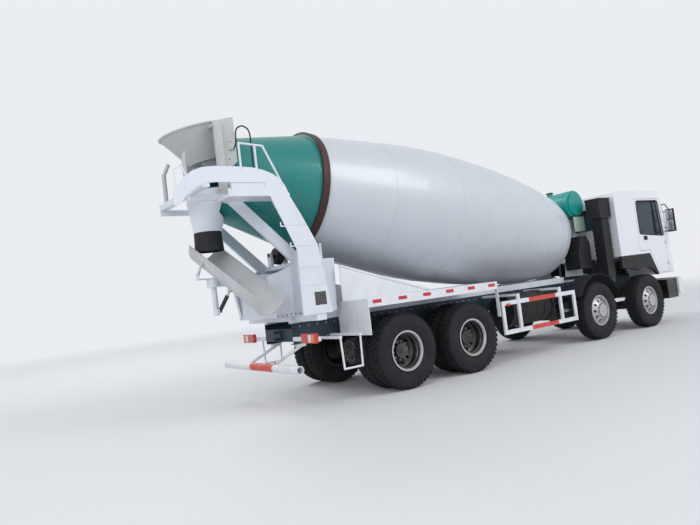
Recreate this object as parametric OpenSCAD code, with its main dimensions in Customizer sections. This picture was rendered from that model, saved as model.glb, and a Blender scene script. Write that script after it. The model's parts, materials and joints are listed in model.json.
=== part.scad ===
// Concrete mixer truck with four axles. Millimetres, +X forward, +Y left, +Z up, origin on the
// ground under the middle of the vehicle. Every place is worked out from the rearmost axle.

/* [Axles] */
// Place of the rearmost axle along the truck
axle4_x = -2400; // [-2600:10:-2200]
// Distance between the two driven axles
bogie_gap = 1350; // [1350:10:1450]
// Distance from the first driven axle to the second steered axle
middle_gap = 3600; // [3400:10:3700]
// Distance between the two steered axles
steer_gap = 1800; // [1800:10:1950]

/* [Wheels] */
// Radius of every tyre
tyre_r = 555; // [535:1:560]
// Width of every tyre
tyre_w = 290; // [270:1:300]
// Radius of the rim flange
rim_r = 292; // [280:1:300]
// Distance from the middle plane to a steered tyre's middle
steer_y = 1011; // [990:1:1030]
// Distance from the middle plane to the middle between twin tyres
twin_y = 918; // [900:1:925]
// Distance between the middles of twin tyres
twin_pitch = 345; // [335:1:350]
// Distance from the middle plane to a king pin
king_y = 850; // [830:1:855]

/* [Chassis] */
// Distance from the middle plane to the outer face of a chassis rail
rail_y = 430; // [400:1:440]
// Height of a chassis rail
rail_h = 300; // [260:1:310]
// Width of a rail flange
rail_flange = 90; // [70:1:100]
// Thickness of a rail
rail_t = 10; // [8:1:14]
// Top of the chassis rails above the ground
rail_top = 1150; // [1130:1:1160]
// Rear end of the rails behind the rearmost axle
rail_rear = 1420; // [1300:1:1450]
// Height of the mixer subframe on the rails
sub_h = 110; // [90:1:120]

/* [Drum] */
// Slope of the drum axis in degrees
drum_tilt = 10; // [9:0.5:10.5]
// Place of the drum's roller ring behind the rearmost axle
ring_back = 855; // [820:1:880]
// Height of the middle of the roller ring
ring_z = 3110; // [3100:1:3150]
// Largest radius of the drum
drum_r = 1150; // [1100:1:1160]
// Radius of the drum under its roller ring
neck_r = 880; // [850:1:890]
// Radius of the drum mouth
mouth_r = 560; // [540:1:575]
// Thickness of the drum wall
drum_t = 8; // [6:1:12]
// Outer radius of the roller ring
ring_r = 935; // [925:1:940]
// Radius of a support roller
roller_r = 130; // [120:1:135]

/* [Cab] */
// Length of the cab
cab_l = 1970; // [1900:10:1980]
// Width of the cab
cab_w = 2260; // [2200:10:2280]
// Height of the cab roof above the ground
cab_top = 2880; // [2840:10:2920]
// Thickness of the cab walls and doors
cab_t = 50; // [40:1:60]
// Gap round a door
door_gap = 8; // [6:1:12]

/* [Rear end] */
// Half width of the truck over its mudguards
guard_y = 1240; // [1236:1:1250]
// Height of the deck over the rear wheels
deck_z = 1375; // [1360:1:1390]
// Height of the hopper's rim above the middle of the drum mouth
hopper_rise = 646; // [600:2:660]
// Radius of the hopper's rim
hopper_r = 500; // [450:5:510]
// Radius of the discharge chute
chute_r = 240; // [220:1:245]

/* [Hidden] */
$fn = 72;
ax4 = axle4_x;
ax3 = ax4 + bogie_gap;
ax2 = ax3 + middle_gap;
ax1 = ax2 + steer_gap;
hub_z = tyre_r;
rail_back = ax4 - rail_rear;
rail_bottom = rail_top - rail_h;
sub_top = rail_top + sub_h;
ring_x = ax4 - ring_back;
cab_back = ax1 - 840;
cab_front = cab_back + cab_l;
rail_front = cab_front - 80;
seat = 0.3;
// Place of the drum mouth in front of the roller ring
mouth_back = -1320;

// columns: name part, x of the axle, half the track to the wheel's middle
STEERED = [["1", ax1], ["2", ax2]];
DRIVEN = [["3", ax3], ["4", ax4]];

// A box from its lowest to its highest corner
module slab(lo, hi) {
    translate(lo) cube(hi - lo);
}

// Both sides of the truck
module both_sides() {
    for (side = [0, 1])
        mirror([0, side, 0]) children();
}

// A plate in the XZ plane between two distances from the middle plane
module side_plate(points, y_near, y_far) {
    translate([0, y_far, 0])
        rotate([90, 0, 0])
            linear_extrude(y_far - y_near) polygon(points);
}

// A round bar from one point to another
module rod(a, b, r) {
    d = b - a;
    length = norm(d);
    translate(a)
        rotate([0, acos(d[2] / length), atan2(d[1], d[0])]) cylinder(r = r, h = length, $fn = 24);
}

// Round bars along a list of points, with a ball at each bend
module rail_path(points, r) {
    for (i = [0:len(points) - 2])
        rod(points[i], points[i + 1], r);
    for (i = [1:len(points) - 2])
        translate(points[i]) sphere(r = r * 1.03, $fn = 24);
}

// A disc or drum about the Y axis from one y to another
module y_disc(r, y0, y1) {
    translate([0, y1, 0]) rotate([90, 0, 0]) cylinder(r = r, h = y1 - y0);
}

// The same, with its axis at a place in the XZ plane
module y_disc_at(x, z, r, y0, y1) {
    translate([x, 0, z]) y_disc(r, y0, y1);
}

// Places its children on the drum axis at a distance in front of the roller ring
module on_drum_axis(s) {
    translate([ring_x, 0, ring_z])
        rotate([0, 90 + drum_tilt, 0]) translate([0, 0, s]) children();
}
function axis_x(s) = ring_x + s * cos(drum_tilt);
function axis_z(s) = ring_z - s * sin(drum_tilt);

/* Chassis */
module c_rail() {
    difference() {
        slab([rail_back, rail_y - rail_flange, rail_bottom], [rail_front, rail_y, rail_top]);
        slab([rail_back - 1, rail_y - rail_flange - 1, rail_bottom + rail_t],
            [rail_front + 1, rail_y - rail_t, rail_top - rail_t]);
    }
}
jaw_z = rail_bottom + 130;
cross_w = 110;
cross_h = 180;
// Places of the cross members along the truck
CROSS_X = [rail_back, ax4 - 520, (ax3 + ax4) / 2 - 55, ax3 + 620, ax3 + 1500, ax2 - 700, ax2 + 190,
    rail_front - cross_w];
tilt_x = cab_front - 90;
tilt_z = 1010;
tilt_y = rail_y + 40;
stack_x = cab_back - 350;
module chassis_rails() {
    color([0.13, 0.22, 0.24]) {
        both_sides() {
            c_rail();
            slab([cab_back + 60, rail_y - 60, rail_top - 5], [cab_back + 140, rail_y, arch_z - seat]);
            y_disc_at(tilt_x, tilt_z, 38, rail_y - 5, tilt_y);
            slab([tilt_x - 38, rail_y - 5, tilt_z - 90], [tilt_x + 10, tilt_y, tilt_z]);
            y_disc_at(tilt_x, tilt_z, 20, tilt_y - 1, tilt_y + 55);
        }
        slab([stack_x + 60, -1040, rail_top - 110], [stack_x + 170, -rail_y + 5, rail_top]);
    }
}
module cross_members() {
    cross_y = rail_y - rail_t - seat;
    color([0.13, 0.22, 0.24]) difference() {
        union() {
            for (x = CROSS_X)
                slab([x, -cross_y, rail_bottom + 40], [x + cross_w, cross_y, rail_bottom + 40 + cross_h]);
            slab([rail_back - 120, -90, jaw_z - 70], [rail_back + 5, 90, jaw_z + 70]);
        }
        slab([rail_back - 130, -100, jaw_z - 35], [rail_back - 25, 100, jaw_z + 35]);
        translate([rail_back - 75, 0, jaw_z - 80]) cylinder(r = 25, h = 160);
    }
}

sub_y0 = rail_y - 85;
pedestal_x = axis_x(6120);
saddle_z = 1700;
// The ladder's foot line behind the last axle
ladder_back = 1240;
ladder_x = ax4 - ladder_back;
module mixer_subframe() {
    color([0.9, 0.91, 0.92]) union() {
        both_sides() slab([rail_back, sub_y0, rail_top], [cab_back - 180, rail_y, sub_top]);
        both_sides() slab([ladder_x - 135, rail_y - 5, sub_top - 90], [ladder_x + 15, -ladder_y0, sub_top]);
        for (x = [rail_back, ax4 + 300, ax3 + 700, ax3 + 2000, ax2 - 200, cab_back - 300])
            slab([x, -sub_y0 - 5, rail_top + 30], [x + 80, sub_y0 + 5, sub_top - 20]);
        difference() {
            both_sides() side_plate([[pedestal_x - 120, sub_top - 5], [pedestal_x + 420, sub_top - 5],
                [pedestal_x + 350, tank_z - 160], [pedestal_x + 150, tank_z - 160], [pedestal_x + 40,
                    1900]],
                sub_y0 + 20, rail_y - 5);
            y_disc_at(tank_x, tank_z, tank_r + seat, -600, 600);
        }
        slab([pedestal_x, -sub_y0 - 25, saddle_z - 60], [pedestal_x + 220, sub_y0 + 25, saddle_z]);
    }
}

/* Axles, springs and drive */
beam_low = 110;
module steer_beam(x) {
    translate([x, 0, 0]) difference() {
        union() {
            slab([-60, -560, hub_z - beam_low - 50], [60, 560, hub_z - beam_low + 50]);
            both_sides() {
                side_bend = [[520, hub_z - beam_low - 50], [600, hub_z - beam_low - 50],
                    [king_y - 60, hub_z - 50], [king_y - 10, hub_z - 50],
                    [king_y - 10, hub_z + 50], [king_y - 60, hub_z + 50], [545, hub_z - beam_low + 50],
                    [520, hub_z - beam_low + 50]];
                translate([-42, 0, 0]) rotate([90, 0, 90]) linear_extrude(84) polygon(side_bend);
                translate([0, king_y, hub_z - 50]) cylinder(r = 45, h = 100);
            }
        }
        both_sides() translate([0, king_y, hub_z - 60]) cylinder(r = 25.3, h = 120);
    }
}
module drive_beam(x) {
    translate([x, 0, hub_z]) {
        y_disc(70, -1010, 1010);
        y_disc(95, -690, 690);
        rotate([0, 90, 0]) translate([0, 0, -diff_back]) cylinder(r = 210, h = diff_back + diff_front);
        both_sides() slab([-85, 440, -85], [85, 535, 100]);
    }
}
module axle_beams() {
    color([0.2, 0.21, 0.22]) {
        for (a = STEERED) steer_beam(a[1]);
        for (a = DRIVEN) drive_beam(a[1]);
    }
}

spring_y0 = rail_y + 18;
spring_w = 80;
leaf_t = 14;
// A stack of leaves with the longest on top, or at the bottom where flip is true
module leaf_pack(x, seat_z, half, leaves, flip) {
    for (i = [0:leaves - 1]) {
        level = flip ? i : leaves - 1 - i;
        slab([x - half * (1 - i * 0.12), spring_y0, seat_z + level * leaf_t],
            [x + half * (1 - i * 0.12), spring_y0 + spring_w, seat_z + (level + 1) * leaf_t + 0.5]);
    }
}
module leaf_springs() {
    color([0.16, 0.17, 0.18]) both_sides() {
        for (a = STEERED) {
            leaf_pack(a[1], hub_z - beam_low + 50 + seat, 620, 5, false);
            for (end = [-1, 1])
                slab([a[1] + end * 590 - 30, rail_y + 0.2, 540], [a[1] + end * 590 + 30,
                    spring_y0 + spring_w, 980]);
        }
        leaf_pack((ax3 + ax4) / 2, hub_z + 100 + seat, bogie_gap / 2 + 90, 7, true);
        slab([(ax3 + ax4) / 2 - 130, rail_y + 0.2, hub_z + 130], [(ax3 + ax4) / 2 + 130,
            spring_y0 + spring_w, 980]);
    }
}

// A disc or shaft along X in the middle plane, from one x onwards
module x_disc(x, z, r, length) {
    translate([x, 0, z]) rotate([0, 90, 0]) cylinder(r = r, h = length);
}
diff_front = 140;
diff_back = 190;
shaft_z = hub_z + 40;
engine_x0 = ax1 - 650;
engine_x1 = ax1 + 560;
module power_train() {
    color([0.35, 0.37, 0.4]) {
        slab([engine_x0, -330, 640], [engine_x1, 330, 1430]);
        slab([engine_x0 - 800, -200, 700], [engine_x0, 200, 1080]);
        rod([engine_x0 - 790, 0, 760], [ax3 + diff_front + 50, 0, shaft_z], 50);
        x_disc(ax3 + diff_front + seat, shaft_z, 62, 60);
        x_disc(ax4 + diff_front + seat, shaft_z, 55, bogie_gap - diff_front - diff_back - 2 * seat);
        both_sides() for (x = [engine_x0 + 100, engine_x1 - 200])
            slab([x, 325, rail_bottom + 60], [x + 90, rail_y - rail_t - seat, rail_top - 80]);
    }
}

/* Tanks and guards on the right and left of the rails */
tank_front = ax3 + 2220;
fuel_y = 760;
fuel_r = 285;
module chassis_tanks() {
    color([0.12, 0.13, 0.14]) {
        translate([0, -fuel_y, 830]) {
            x_disc(ax3 + 1220, 0, fuel_r, 1000);
            for (x = [ax3 + 1340, tank_front - 180])
                x_disc(x, 0, fuel_r + 5, 60);
            translate([ax3 + 1500, 0, fuel_r - 20]) cylinder(r = 55, h = 60);
        }
        for (x = [ax3 + 1340, tank_front - 180])
            slab([x, -fuel_y + fuel_r - 60, 690], [x + 60, -rail_y - seat, 960]);
        slab([ax3 + 1220, rail_y + seat, 640], [ax3 + 1840, 1040, 1050]);
        slab([ax3 + 1210, rail_y + 20, 1040], [ax3 + 1850, 1050, 1090]);
        for (z = [700, 960])
            translate([0, 720, z]) x_disc(ax3 + 1835, 0, 115, 560);
        slab([ax3 + 1980, rail_y + seat, 640], [ax3 + 2040, 720, 1040]);
    }
}

guard_x0 = ax3 + 730;
guard_x1 = ax3 + 2720;
guard_lo = 515;
guard_hi = 995;
module side_guard() {
    for (z = [guard_lo, guard_hi])
        slab([guard_x0, 1190, z - 35], [guard_x1, 1225, z + 35]);
    for (x = [guard_x0, guard_x0 + 400, guard_x1 - 460, guard_x1 - 60])
        slab([x, 1190, guard_lo], [x + 60, 1225, guard_hi]);
    for (x = [guard_x0 + 400, guard_x1 - 460])
        slab([x, rail_y + seat, guard_hi + 90], [x + 60, 1225, guard_hi + 130]);
    for (x = [guard_x0 + 400, guard_x1 - 460])
        slab([x, 1190, guard_hi], [x + 60, 1225, guard_hi + 130]);
}
bar_x = rail_back - 360;
bar_z = 580;
module guard_rails() {
    color([0.9, 0.9, 0.9]) {
        side_guard();
        mirror([0, 1, 0]) side_guard();
        translate([bar_x, 1180, bar_z]) rotate([90, 0, 0]) difference() {
            cylinder(r = 55, h = 2360);
            translate([0, 0, -1]) cylinder(r = 45, h = 2362);
        }
        both_sides() {
            rod([bar_x + 30, rail_y - 45, bar_z + 30], [rail_back + 150, rail_y - 45,
                rail_bottom - 30], 22);
            slab([rail_back + 60, rail_y - 80, rail_bottom - 45], [rail_back + 200, rail_y - 10,
                rail_bottom - seat]);
        }
    }
}

/* Mudguards */
flap_x = ax4 - 640;
// Sloped plate and pipe over the deck, and the hanging steps behind the wheels
apron_x0 = ring_x + 160;
apron_x1 = ax4 + 1000;
apron_y = 706;
apron_top = 1850;
step_x0 = ax4 - 1120;
step_x1 = ax4 - 790;
module rear_mudguards() {
    color([0.93, 0.94, 0.95]) both_sides() {
        slab([flap_x, rail_y + 0.5, deck_z - 12], [ax3 + 660, guard_y, deck_z]);
        slab([flap_x, guard_y - 30, deck_z - 125], [ax3 + 660, guard_y, deck_z - 5]);
        slab([flap_x, rail_y + 40, 870], [flap_x + 12, guard_y, deck_z - 5]);
        slab([ax3 + 648, guard_y - 60, 800], [ax3 + 660, guard_y, deck_z - 5]);
        slab([flap_x + 200, rail_y + 0.5, sub_top - 40], [flap_x + 260, rail_y + 60, deck_z - 5]);
        slab([ax3 + 400, rail_y + 0.5, sub_top - 40], [ax3 + 460, rail_y + 60, deck_z - 5]);
        slab([rail_back - 8, rail_y + 0.5, 900], [rail_back + 30, 1130, 960]);
        side_plate([[apron_x0, deck_z - 5], [apron_x1, deck_z - 5], [apron_x0, apron_top]], apron_y,
            apron_y + 12);
        rod([apron_x0 + 15, apron_y + 6, apron_top + 40], [apron_x1 + 40, apron_y + 6, deck_z - 10], 20);
        slab([apron_x0, apron_y, apron_top - 60], [apron_x0 + 30, apron_y + 12, apron_top + 40]);
        for (x = [step_x0, step_x1])
            slab([x - 20, rail_y + 0.5, 890], [x + 20, 1195, 925]);
        rail_path([[step_x0, 1182, 910], [step_x0 + 15, 1182, 480], [step_x1 - 15, 1182, 480],
            [step_x1, 1182, 910]], 14);
    }
}
arch_r = tyre_r + 145;
module arch_mudguards() {
    color([0.08, 0.08, 0.09]) both_sides() {
        translate([ax2, 1180, hub_z]) rotate([90, 0, 0]) difference() {
            cylinder(r = arch_r + 8, h = 330, $fn = 160);
            translate([0, 0, -1]) cylinder(r = arch_r, h = 332, $fn = 160);
            translate([-arch_r - 20, -arch_r + 330, -1]) cube([2 * arch_r + 40, arch_r, 400]);
            translate([-arch_r - 20, -arch_r - 20, -1]) cube([2 * arch_r + 40, arch_r + 40, 400]);
        }
        slab([ax2 - 40, rail_y + 0.5, hub_z + arch_r - 60], [ax2 + 40, 860, hub_z + arch_r + 3]);
    }
}

/* Front bumper with steps */
bumper_top = 950;
module front_bumper() {
    color([0.92, 0.93, 0.94]) difference() {
        slab([rail_front, -guard_y, 560], [cab_front + 70, guard_y, bumper_top]);
        both_sides() slab([cab_front - 5, 780, 650], [cab_front + 80, 1080, 800]);
        both_sides() translate([rail_front - 1, 500, 640]) rotate([0, 90, 0]) cylinder(r = 26, h = 300);
        slab([cab_front + 58, -270, 700], [cab_front + 80, 270, 830]);
        both_sides() slab([rail_front - 1, guard_y - 60, 555], [cab_front + 80, guard_y + 1, 600]);
    }
    color([0.1, 0.1, 0.11]) both_sides()
        slab([ax1 + 640, 960, 520], [rail_front - seat, guard_y - 40, bumper_top - 20]);
}

module rear_lamps() {
    color([0.75, 0.1, 0.08]) both_sides()
        slab([rail_back - 60, 760, 880], [rail_back - 8 - seat, 1130, 1010]);
}

/* Rear pedestal that carries the rollers, the platform and the hopper */
ped_y = 620;
roller_y = 520;
roller_drop = sqrt(pow(ring_r + roller_r + seat, 2) - roller_y * roller_y);
roller_z = ring_z - roller_drop * cos(drum_tilt);
roller_x = ring_x - roller_drop * sin(drum_tilt);
ped_top = roller_z - 170;
swivel_x = ax4 - 2340;
arm_z = 1790;
arm_top = 2980;
ped_tail = rail_back - 300;
cheek_t = 14;
module cheek_shape(inset) {
    polygon([[ped_tail + inset, sub_top + inset], [ring_x + 105 - inset, sub_top + inset],
        [ring_x + 155 - inset, ped_top - inset], [roller_x - 230, ped_top - inset],
        [ped_tail - 80 + inset, arm_z + 40 - inset / 2], [ped_tail - 80 + inset, arm_z - 60]]);
}
// One side of the pedestal: a plate with a folded rim and two pressed ribs
module cheek() {
    difference() {
        across(ped_y - 60, ped_y) cheek_shape(0);
        across(ped_y - 61, ped_y - cheek_t) cheek_shape(16);
    }
    for (x = [ring_x - 620, ring_x - 130])
        slab([x, ped_y - 1, sub_top + 40], [x + 36, ped_y + 8, arm_z]);
    slab([ring_x - 620, ped_y - 1, arm_z - 160], [ring_x + 60, ped_y + 8, arm_z - 125]);
}
module rear_pedestal() {
    color([0.88, 0.89, 0.91]) {
        both_sides() cheek();
        slab([ped_tail + 20, -ped_y + 5, sub_top], [ring_x + 105, ped_y - 5, sub_top + 14]);
        slab([roller_x - 230, -ped_y, ped_top - 60], [ring_x + 145, ped_y, ped_top]);
        slab([ped_tail + 12, -ped_y + 5, sub_top + 5], [ped_tail + 26, ped_y - 5, arm_z - 100]);
        difference() {
            both_sides() for (dx = [-150, 110])
                slab([roller_x + dx, roller_y - 60, ped_top - 5], [roller_x + dx + 40, roller_y + 60,
                    roller_z + 60]);
            both_sides() roller_place() translate([0, 0, -200]) cylinder(r = 30.3, h = 400);
        }
        both_sides() side_plate([[roller_x - 229, ped_top - 160], [roller_x - 160, ped_top],
            [ax4 - 2160, arm_top], [ax4 - 2360, arm_top], [ax4 - 2360, arm_top - 80], [ax4 - 2240,
                arm_top - 120]],
            ped_y - 60, ped_y);
        slab([rail_back - 5, -ped_y + 5, arm_z - 60], [rail_back + 60, ped_y - 5, arm_z + 110]);
        difference() {
            union() {
                slab([swivel_x, -60, arm_z], [rail_back + 10, 60, arm_z + 110]);
                side_plate([[swivel_x + 200, arm_z + 5], [rail_back, arm_z - 400], [rail_back + 12,
                    arm_z + 5]], -6, 6);
                translate([swivel_x, 0, arm_z]) cylinder(r = 90, h = 110);
            }
            translate([swivel_x, 0, arm_z - 1]) cylinder(r = 40.3, h = 120);
        }
    }
}
module roller_place() {
    translate([roller_x, roller_y, roller_z]) rotate([0, 90 + drum_tilt, 0]) children();
}

/* Ladder and platform on the right */
ladder_y0 = -1078;
ladder_y1 = -720;
ladder_w = 12;
plate_d = 115;
tail_x = ladder_x - 1910;
platform_x = ladder_x - 1200;
beam_x = ladder_x - 1540;
// Outer leg: columns: place in front of the ladder's foot line, height
LEG = [[120, sub_top], [60, 1700], [0, 2190], [-203, 2598], [-410, 2970], [-633, 2859], [-327, 2132],
    [-345, sub_top]];
// Arched plate beside the platform: the same columns
ARCH = [[-360, 2900], [-400, 3000], [-460, 3080], [-560, 3150], [-690, 3200], [-840, 3230], [-1060, 3240],
    [-1356, 3240], [-1510, 3225], [-1640, 3180], [-1760, 3100], [-1850, 3010], [-1900, 2930], [-1910, 2760],
    [-1830, 2765], [-1770, 2850], [-1690, 2930], [-1580, 2990], [-1460, 3030], [-1340, 3040], [-1160, 3040],
    [-1160, 2860], [-390, 2860]];
function from_ladder(table) = [for (p = table) [ladder_x + p[0], p[1]]];
rung_r = 16;
bar_r = 14;
rail_foot = 3200;
rail_high = 3544;
rail_bend = 3519;
outer_y = ladder_y0 - ladder_w / 2;
module hand_rails() {
    rail_path([[ladder_x - 999, outer_y, rail_foot], [ladder_x - 999, outer_y, rail_high],
        [ladder_x - 665, outer_y, rail_bend],
        [ladder_x - 430, outer_y, 3010]], bar_r);
    rod([ladder_x - 780, outer_y, rail_foot], [ladder_x - 780, outer_y, rail_bend + 8], bar_r);
    rail_path([[tail_x + 50, outer_y, 2940], [tail_x + 40, outer_y, 3190], [tail_x + 130, outer_y, 3250],
        [tail_x + 200, outer_y, 3080]], 11);
}
module ladder_platform() {
    color([0.9, 0.91, 0.92]) {
        difference() {
            side_plate(from_ladder(LEG), ladder_y0 - ladder_w, ladder_y0);
            slab([ladder_x - 143, ladder_y0 - 50, 1373], [ladder_x + 38, ladder_y0 + 50, 1555]);
        }
        side_plate([[ladder_x, sub_top], [ladder_x - 15, 2264], [ladder_x - 360, 2940],
            [ladder_x - 360 - plate_d, 2940], [ladder_x - 15 - plate_d, 2264], [ladder_x - plate_d,
                sub_top]],
            ladder_y1 - 30, ladder_y1);
        for (i = [0:3])
            rod([ladder_x - 65, ladder_y0 - 5, sub_top + 170 + i * 240], [ladder_x - 65, ladder_y1 - 5,
                sub_top + 170 + i * 240], rung_r);
        for (i = [0:2])
            rod([ladder_x - 120 - i * 115, ladder_y0 - 5, 2330 + i * 225], [ladder_x - 120 - i * 115,
                ladder_y1 - 5, 2330 + i * 225], rung_r);
        slab([platform_x, ladder_y0 - 5, 2860], [ladder_x - 340, -700, 2900]);
        slab([platform_x, ladder_y0 - 5, 2895], [ladder_x - 390, ladder_y0 + 25, 2962]);
        slab([ax4 - 2300, -710, 2870], [ax4 - 2240, -ped_y - seat, 2900]);
        difference() {
            side_plate(from_ladder(ARCH), ladder_y0 - ladder_w, ladder_y0);
            slab([ladder_x - 1150, ladder_y0 - 50, 2970], [ladder_x - 690, ladder_y0 - 1, 3036]);
        }
        for (z = [2180, 2450]) {
            hook_x = ladder_x - 330 - (z - 2180) * 0.42;
            slab([hook_x - 90, ladder_y0 - ladder_w, z], [hook_x + 40, ladder_y0, z + 14]);
            slab([hook_x - 90, ladder_y0 - ladder_w, z], [hook_x - 76, ladder_y0, z + 60]);
        }
        hand_rails();
        slab([beam_x, ladder_y0 - 5, arm_top], [beam_x + 100, 620, arm_top + 80]);
        both_sides() slab([beam_x, ped_y - 54, arm_top - 75], [ax4 - 2360 - seat, ped_y - 6, arm_top + 5]);
    }
}

/* Hopper, collector and skirt */
hopper_x = ax4 - 2370;
leg_x = ax4 - 2320;
bowl_x = ax4 - 2240;
leg_y = ped_y - 24;
hopper_z = axis_z(mouth_back) + hopper_rise;
bowl_z = hopper_z - 425;
mouth_gap = 25;
mouth_s = mouth_back - mouth_gap;
plate_t = 10;
// The funnel's full shape, drawn in by a wall
module funnel(wall, lift) {
    hull() {
        translate([hopper_x, 0, hopper_z + lift]) rotate([0, -12.5, 0])
            cylinder(r = hopper_r - wall, h = 1, $fn = 48);
        translate([bowl_x, 0, bowl_z + lift]) rotate([0, -12.5, 0])
            cylinder(r = 240 - wall, h = 1, $fn = 48);
    }
}
// Everything behind a plane across the drum axis
module behind(s) {
    on_drum_axis(s - 1500) translate([-1500, -1500, 0]) cube([3000, 3000, 1500]);
}
module spout(r) {
    rod([bowl_x - 30, 0, bowl_z + 130], [bowl_x + 270, 0, bowl_z - 60], r);
}
module feed_hopper() {
    color([0.8, 0.81, 0.8]) {
        difference() {
            union() {
                intersection() {
                    funnel(0, 0);
                    behind(mouth_s);
                }
                spout(150);
            }
            intersection() {
                funnel(plate_t, 3);
                behind(mouth_s - plate_t);
            }
            spout(140);
        }
        intersection() {
            translate([hopper_x, 0, hopper_z]) rotate([0, -12.5, 0]) rotate_extrude()
                translate([hopper_r + 2, 0]) circle(r = 14, $fn = 24);
            behind(mouth_s);
        }
        both_sides() {
            side_plate([[leg_x - 35, arm_top + seat], [leg_x + 120, arm_top + seat], [leg_x + 160,
                arm_top + 350],
                [leg_x + 270, arm_top + 450], [leg_x + 270, hopper_z + 60], [leg_x - 30, hopper_z - 15]],
                leg_y, leg_y + 10);
            for (dx = [-20, 105])
                slab([leg_x + dx, leg_y + 9, arm_top + 60], [leg_x + dx + 14, leg_y + 24, hopper_z - 60]);
            slab([leg_x - 30, hopper_r - 60, hopper_z - 80], [leg_x + 30, leg_y + 5, hopper_z - 45]);
            rod([beam_x + 50, 430, arm_top + 80 + seat], [beam_x + 50, 430, arm_top + 500], 30);
            rod([beam_x + 50, 430, arm_top + 480], [beam_x + 100, 330, arm_top + 620], 26);
        }
    }
}
skirt_top = 2558;
skirt_bottom = 2290;
skirt_r = 190;
module collector_body(grow) {
    hull() {
        translate([swivel_x + 60, 0, arm_top + 120]) scale([272 + grow, 520 + grow, 1]) cylinder(r = 1,
            h = 1);
        translate([swivel_x, 0, skirt_top]) cylinder(r = skirt_r + grow, h = 1);
    }
}
module discharge_collector() {
    color([0.85, 0.86, 0.86]) difference() {
        collector_body(0);
        translate([0, 0, 3]) collector_body(-10);
        translate([0, 0, -3]) collector_body(-10);
        on_drum_axis(mouth_s) cylinder(r = mouth_r + 90, h = 900);
    }
    color([0.85, 0.86, 0.86]) both_sides()
        slab([swivel_x - 20, 398, arm_top - 80], [swivel_x + 20, ped_y - 60 - seat, arm_top - 30]);
}
module collector_skirt() {
    color([0.07, 0.07, 0.08]) translate([swivel_x, 0, skirt_bottom]) difference() {
        cylinder(r1 = skirt_r + 12, r2 = skirt_r, h = skirt_top - skirt_bottom - seat);
        translate([0, 0, -1]) cylinder(r1 = skirt_r, r2 = skirt_r - 12, h = skirt_top - skirt_bottom + 2);
    }
}

/* Drum drive, tank and cooler */
module drum_gearbox() {
    color([0.2, 0.3, 0.34]) union() {
        on_drum_axis(drum_end + 15) cylinder(r = 60, h = 80);
        on_drum_axis(drum_end + 71) cylinder(r = 210, h = 60);
        on_drum_axis(drum_end + 125) cylinder(r = 260, h = 200);
        on_drum_axis(drum_end + 320) cylinder(r = 150, h = 120);
        slab([pedestal_x + 20, -160, saddle_z + seat], [pedestal_x + 200, 160, saddle_z + 150]);
    }
}
// The tank's middle ahead of the last axle
tank_ahead = 5420;
tank_x = ax4 + tank_ahead;
tank_z = 2720;
tank_r = 290;
module water_tank() {
    color([0.1, 0.62, 0.5]) {
        translate([tank_x, 0, tank_z]) {
            y_disc(tank_r, -560, 560);
            y_disc(tank_r - 60, -590, 590);
            cylinder(r = 60, h = tank_r + 40);
            for (y = [-470, 430]) y_disc(tank_r + 5, y, y + 40);
        }
    }
}
module cooler_unit() {
    color([0.08, 0.09, 0.1]) {
        difference() {
            slab([stack_x - 80, -1060, 2360], [cab_back - 50, -760, 2740]);
            for (i = [0:5])
                slab([stack_x - 50, -1070, 2400 + i * 52], [cab_back - 80, -1048, 2424 + i * 52]);
        }
        slab([stack_x - 92, -1072, 2735], [cab_back - 38, -748, 2760]);
        slab([stack_x, -1020, rail_top + seat], [cab_back - 100, -800, 2365]);
        for (i = [0:8])
            slab([stack_x - 9, -1029, 1400 + i * 100], [cab_back - 91, -791, 1430 + i * 100]);
        difference() {
            across(-760, -rail_y + 5 - seat) polygon([[pedestal_x - 130, 1380], [pedestal_x + 280, 1380],
                [pedestal_x + 280, 1900], [pedestal_x + 180, 2040], [pedestal_x - 10, 2040],
                    [pedestal_x - 130, 1700]]);
            for (i = [0:6])
                slab([pedestal_x - 80, -770, 1430 + i * 60], [pedestal_x + 240, -748, 1456 + i * 60]);
        }
    }
}

/* Drum */
course_s = 2500;
drum_end = 6000;
// columns: distance in front of the roller ring, share of the drum's largest radius
BELLY = [[1350, 0.932], [1750, 0.968], [2150, 0.992], [course_s, 1]];
NOSE = [[course_s + seat, 1], [2950, 1], [3350, 0.991], [3850, 0.967], [4400, 0.924], [4900, 0.868],
    [5300, 0.808], [5580, 0.752], [5770, 0.69], [5880, 0.61], [5945, 0.49], [5985, 0.33], [drum_end, 0.18]];
function course(table) = [for (p = table) [drum_r * p[1], p[0]]];
function inner(points) = [for (i = [len(points) - 1:-1:0]) points[i] - [drum_t, 0]];
module shell_course(outer) {
    on_drum_axis(0) rotate_extrude($fn = 200) polygon(concat(outer, inner(outer)));
}
module drum_rear() {
    color([0.1, 0.5, 0.46]) shell_course([[mouth_r, mouth_back], [neck_r, -60 - seat]]);
}
module drum_middle() {
    color([0.8, 0.83, 0.86]) shell_course(concat([[neck_r, -60], [neck_r + 20, -59], [neck_r + 20,
        60]], course(BELLY)));
}
module drum_front() {
    outer = course(NOSE);
    last = len(outer) - 1;
    color([0.8, 0.83, 0.86]) on_drum_axis(0) difference() {
        union() {
            rotate_extrude($fn = 200) polygon(concat(outer, [[0, drum_end], [0, drum_end - drum_t]],
                [for (i = [last:-1:0]) outer[i] - (i > 7 ? [drum_t / 2, drum_t] : [drum_t, 0])]));
            translate([0, 0, drum_end - 5]) cylinder(r = 200, h = 70);
        }
        translate([0, 0, drum_end + 5]) cylinder(r = 60.3, h = 80);
    }
}
module drum_ring() {
    color([0.25, 0.18, 0.15]) on_drum_axis(-55) rotate_extrude($fn = 200)
        translate([neck_r + 20 + seat, 0]) square([ring_r - neck_r - 20 - seat, 110]);
}
module roller() {
    color([0.12, 0.12, 0.13]) roller_place() {
        translate([0, 0, -60]) cylinder(r = roller_r, h = 120);
        translate([0, 0, -165]) cylinder(r = 30, h = 330);
    }
}
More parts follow.
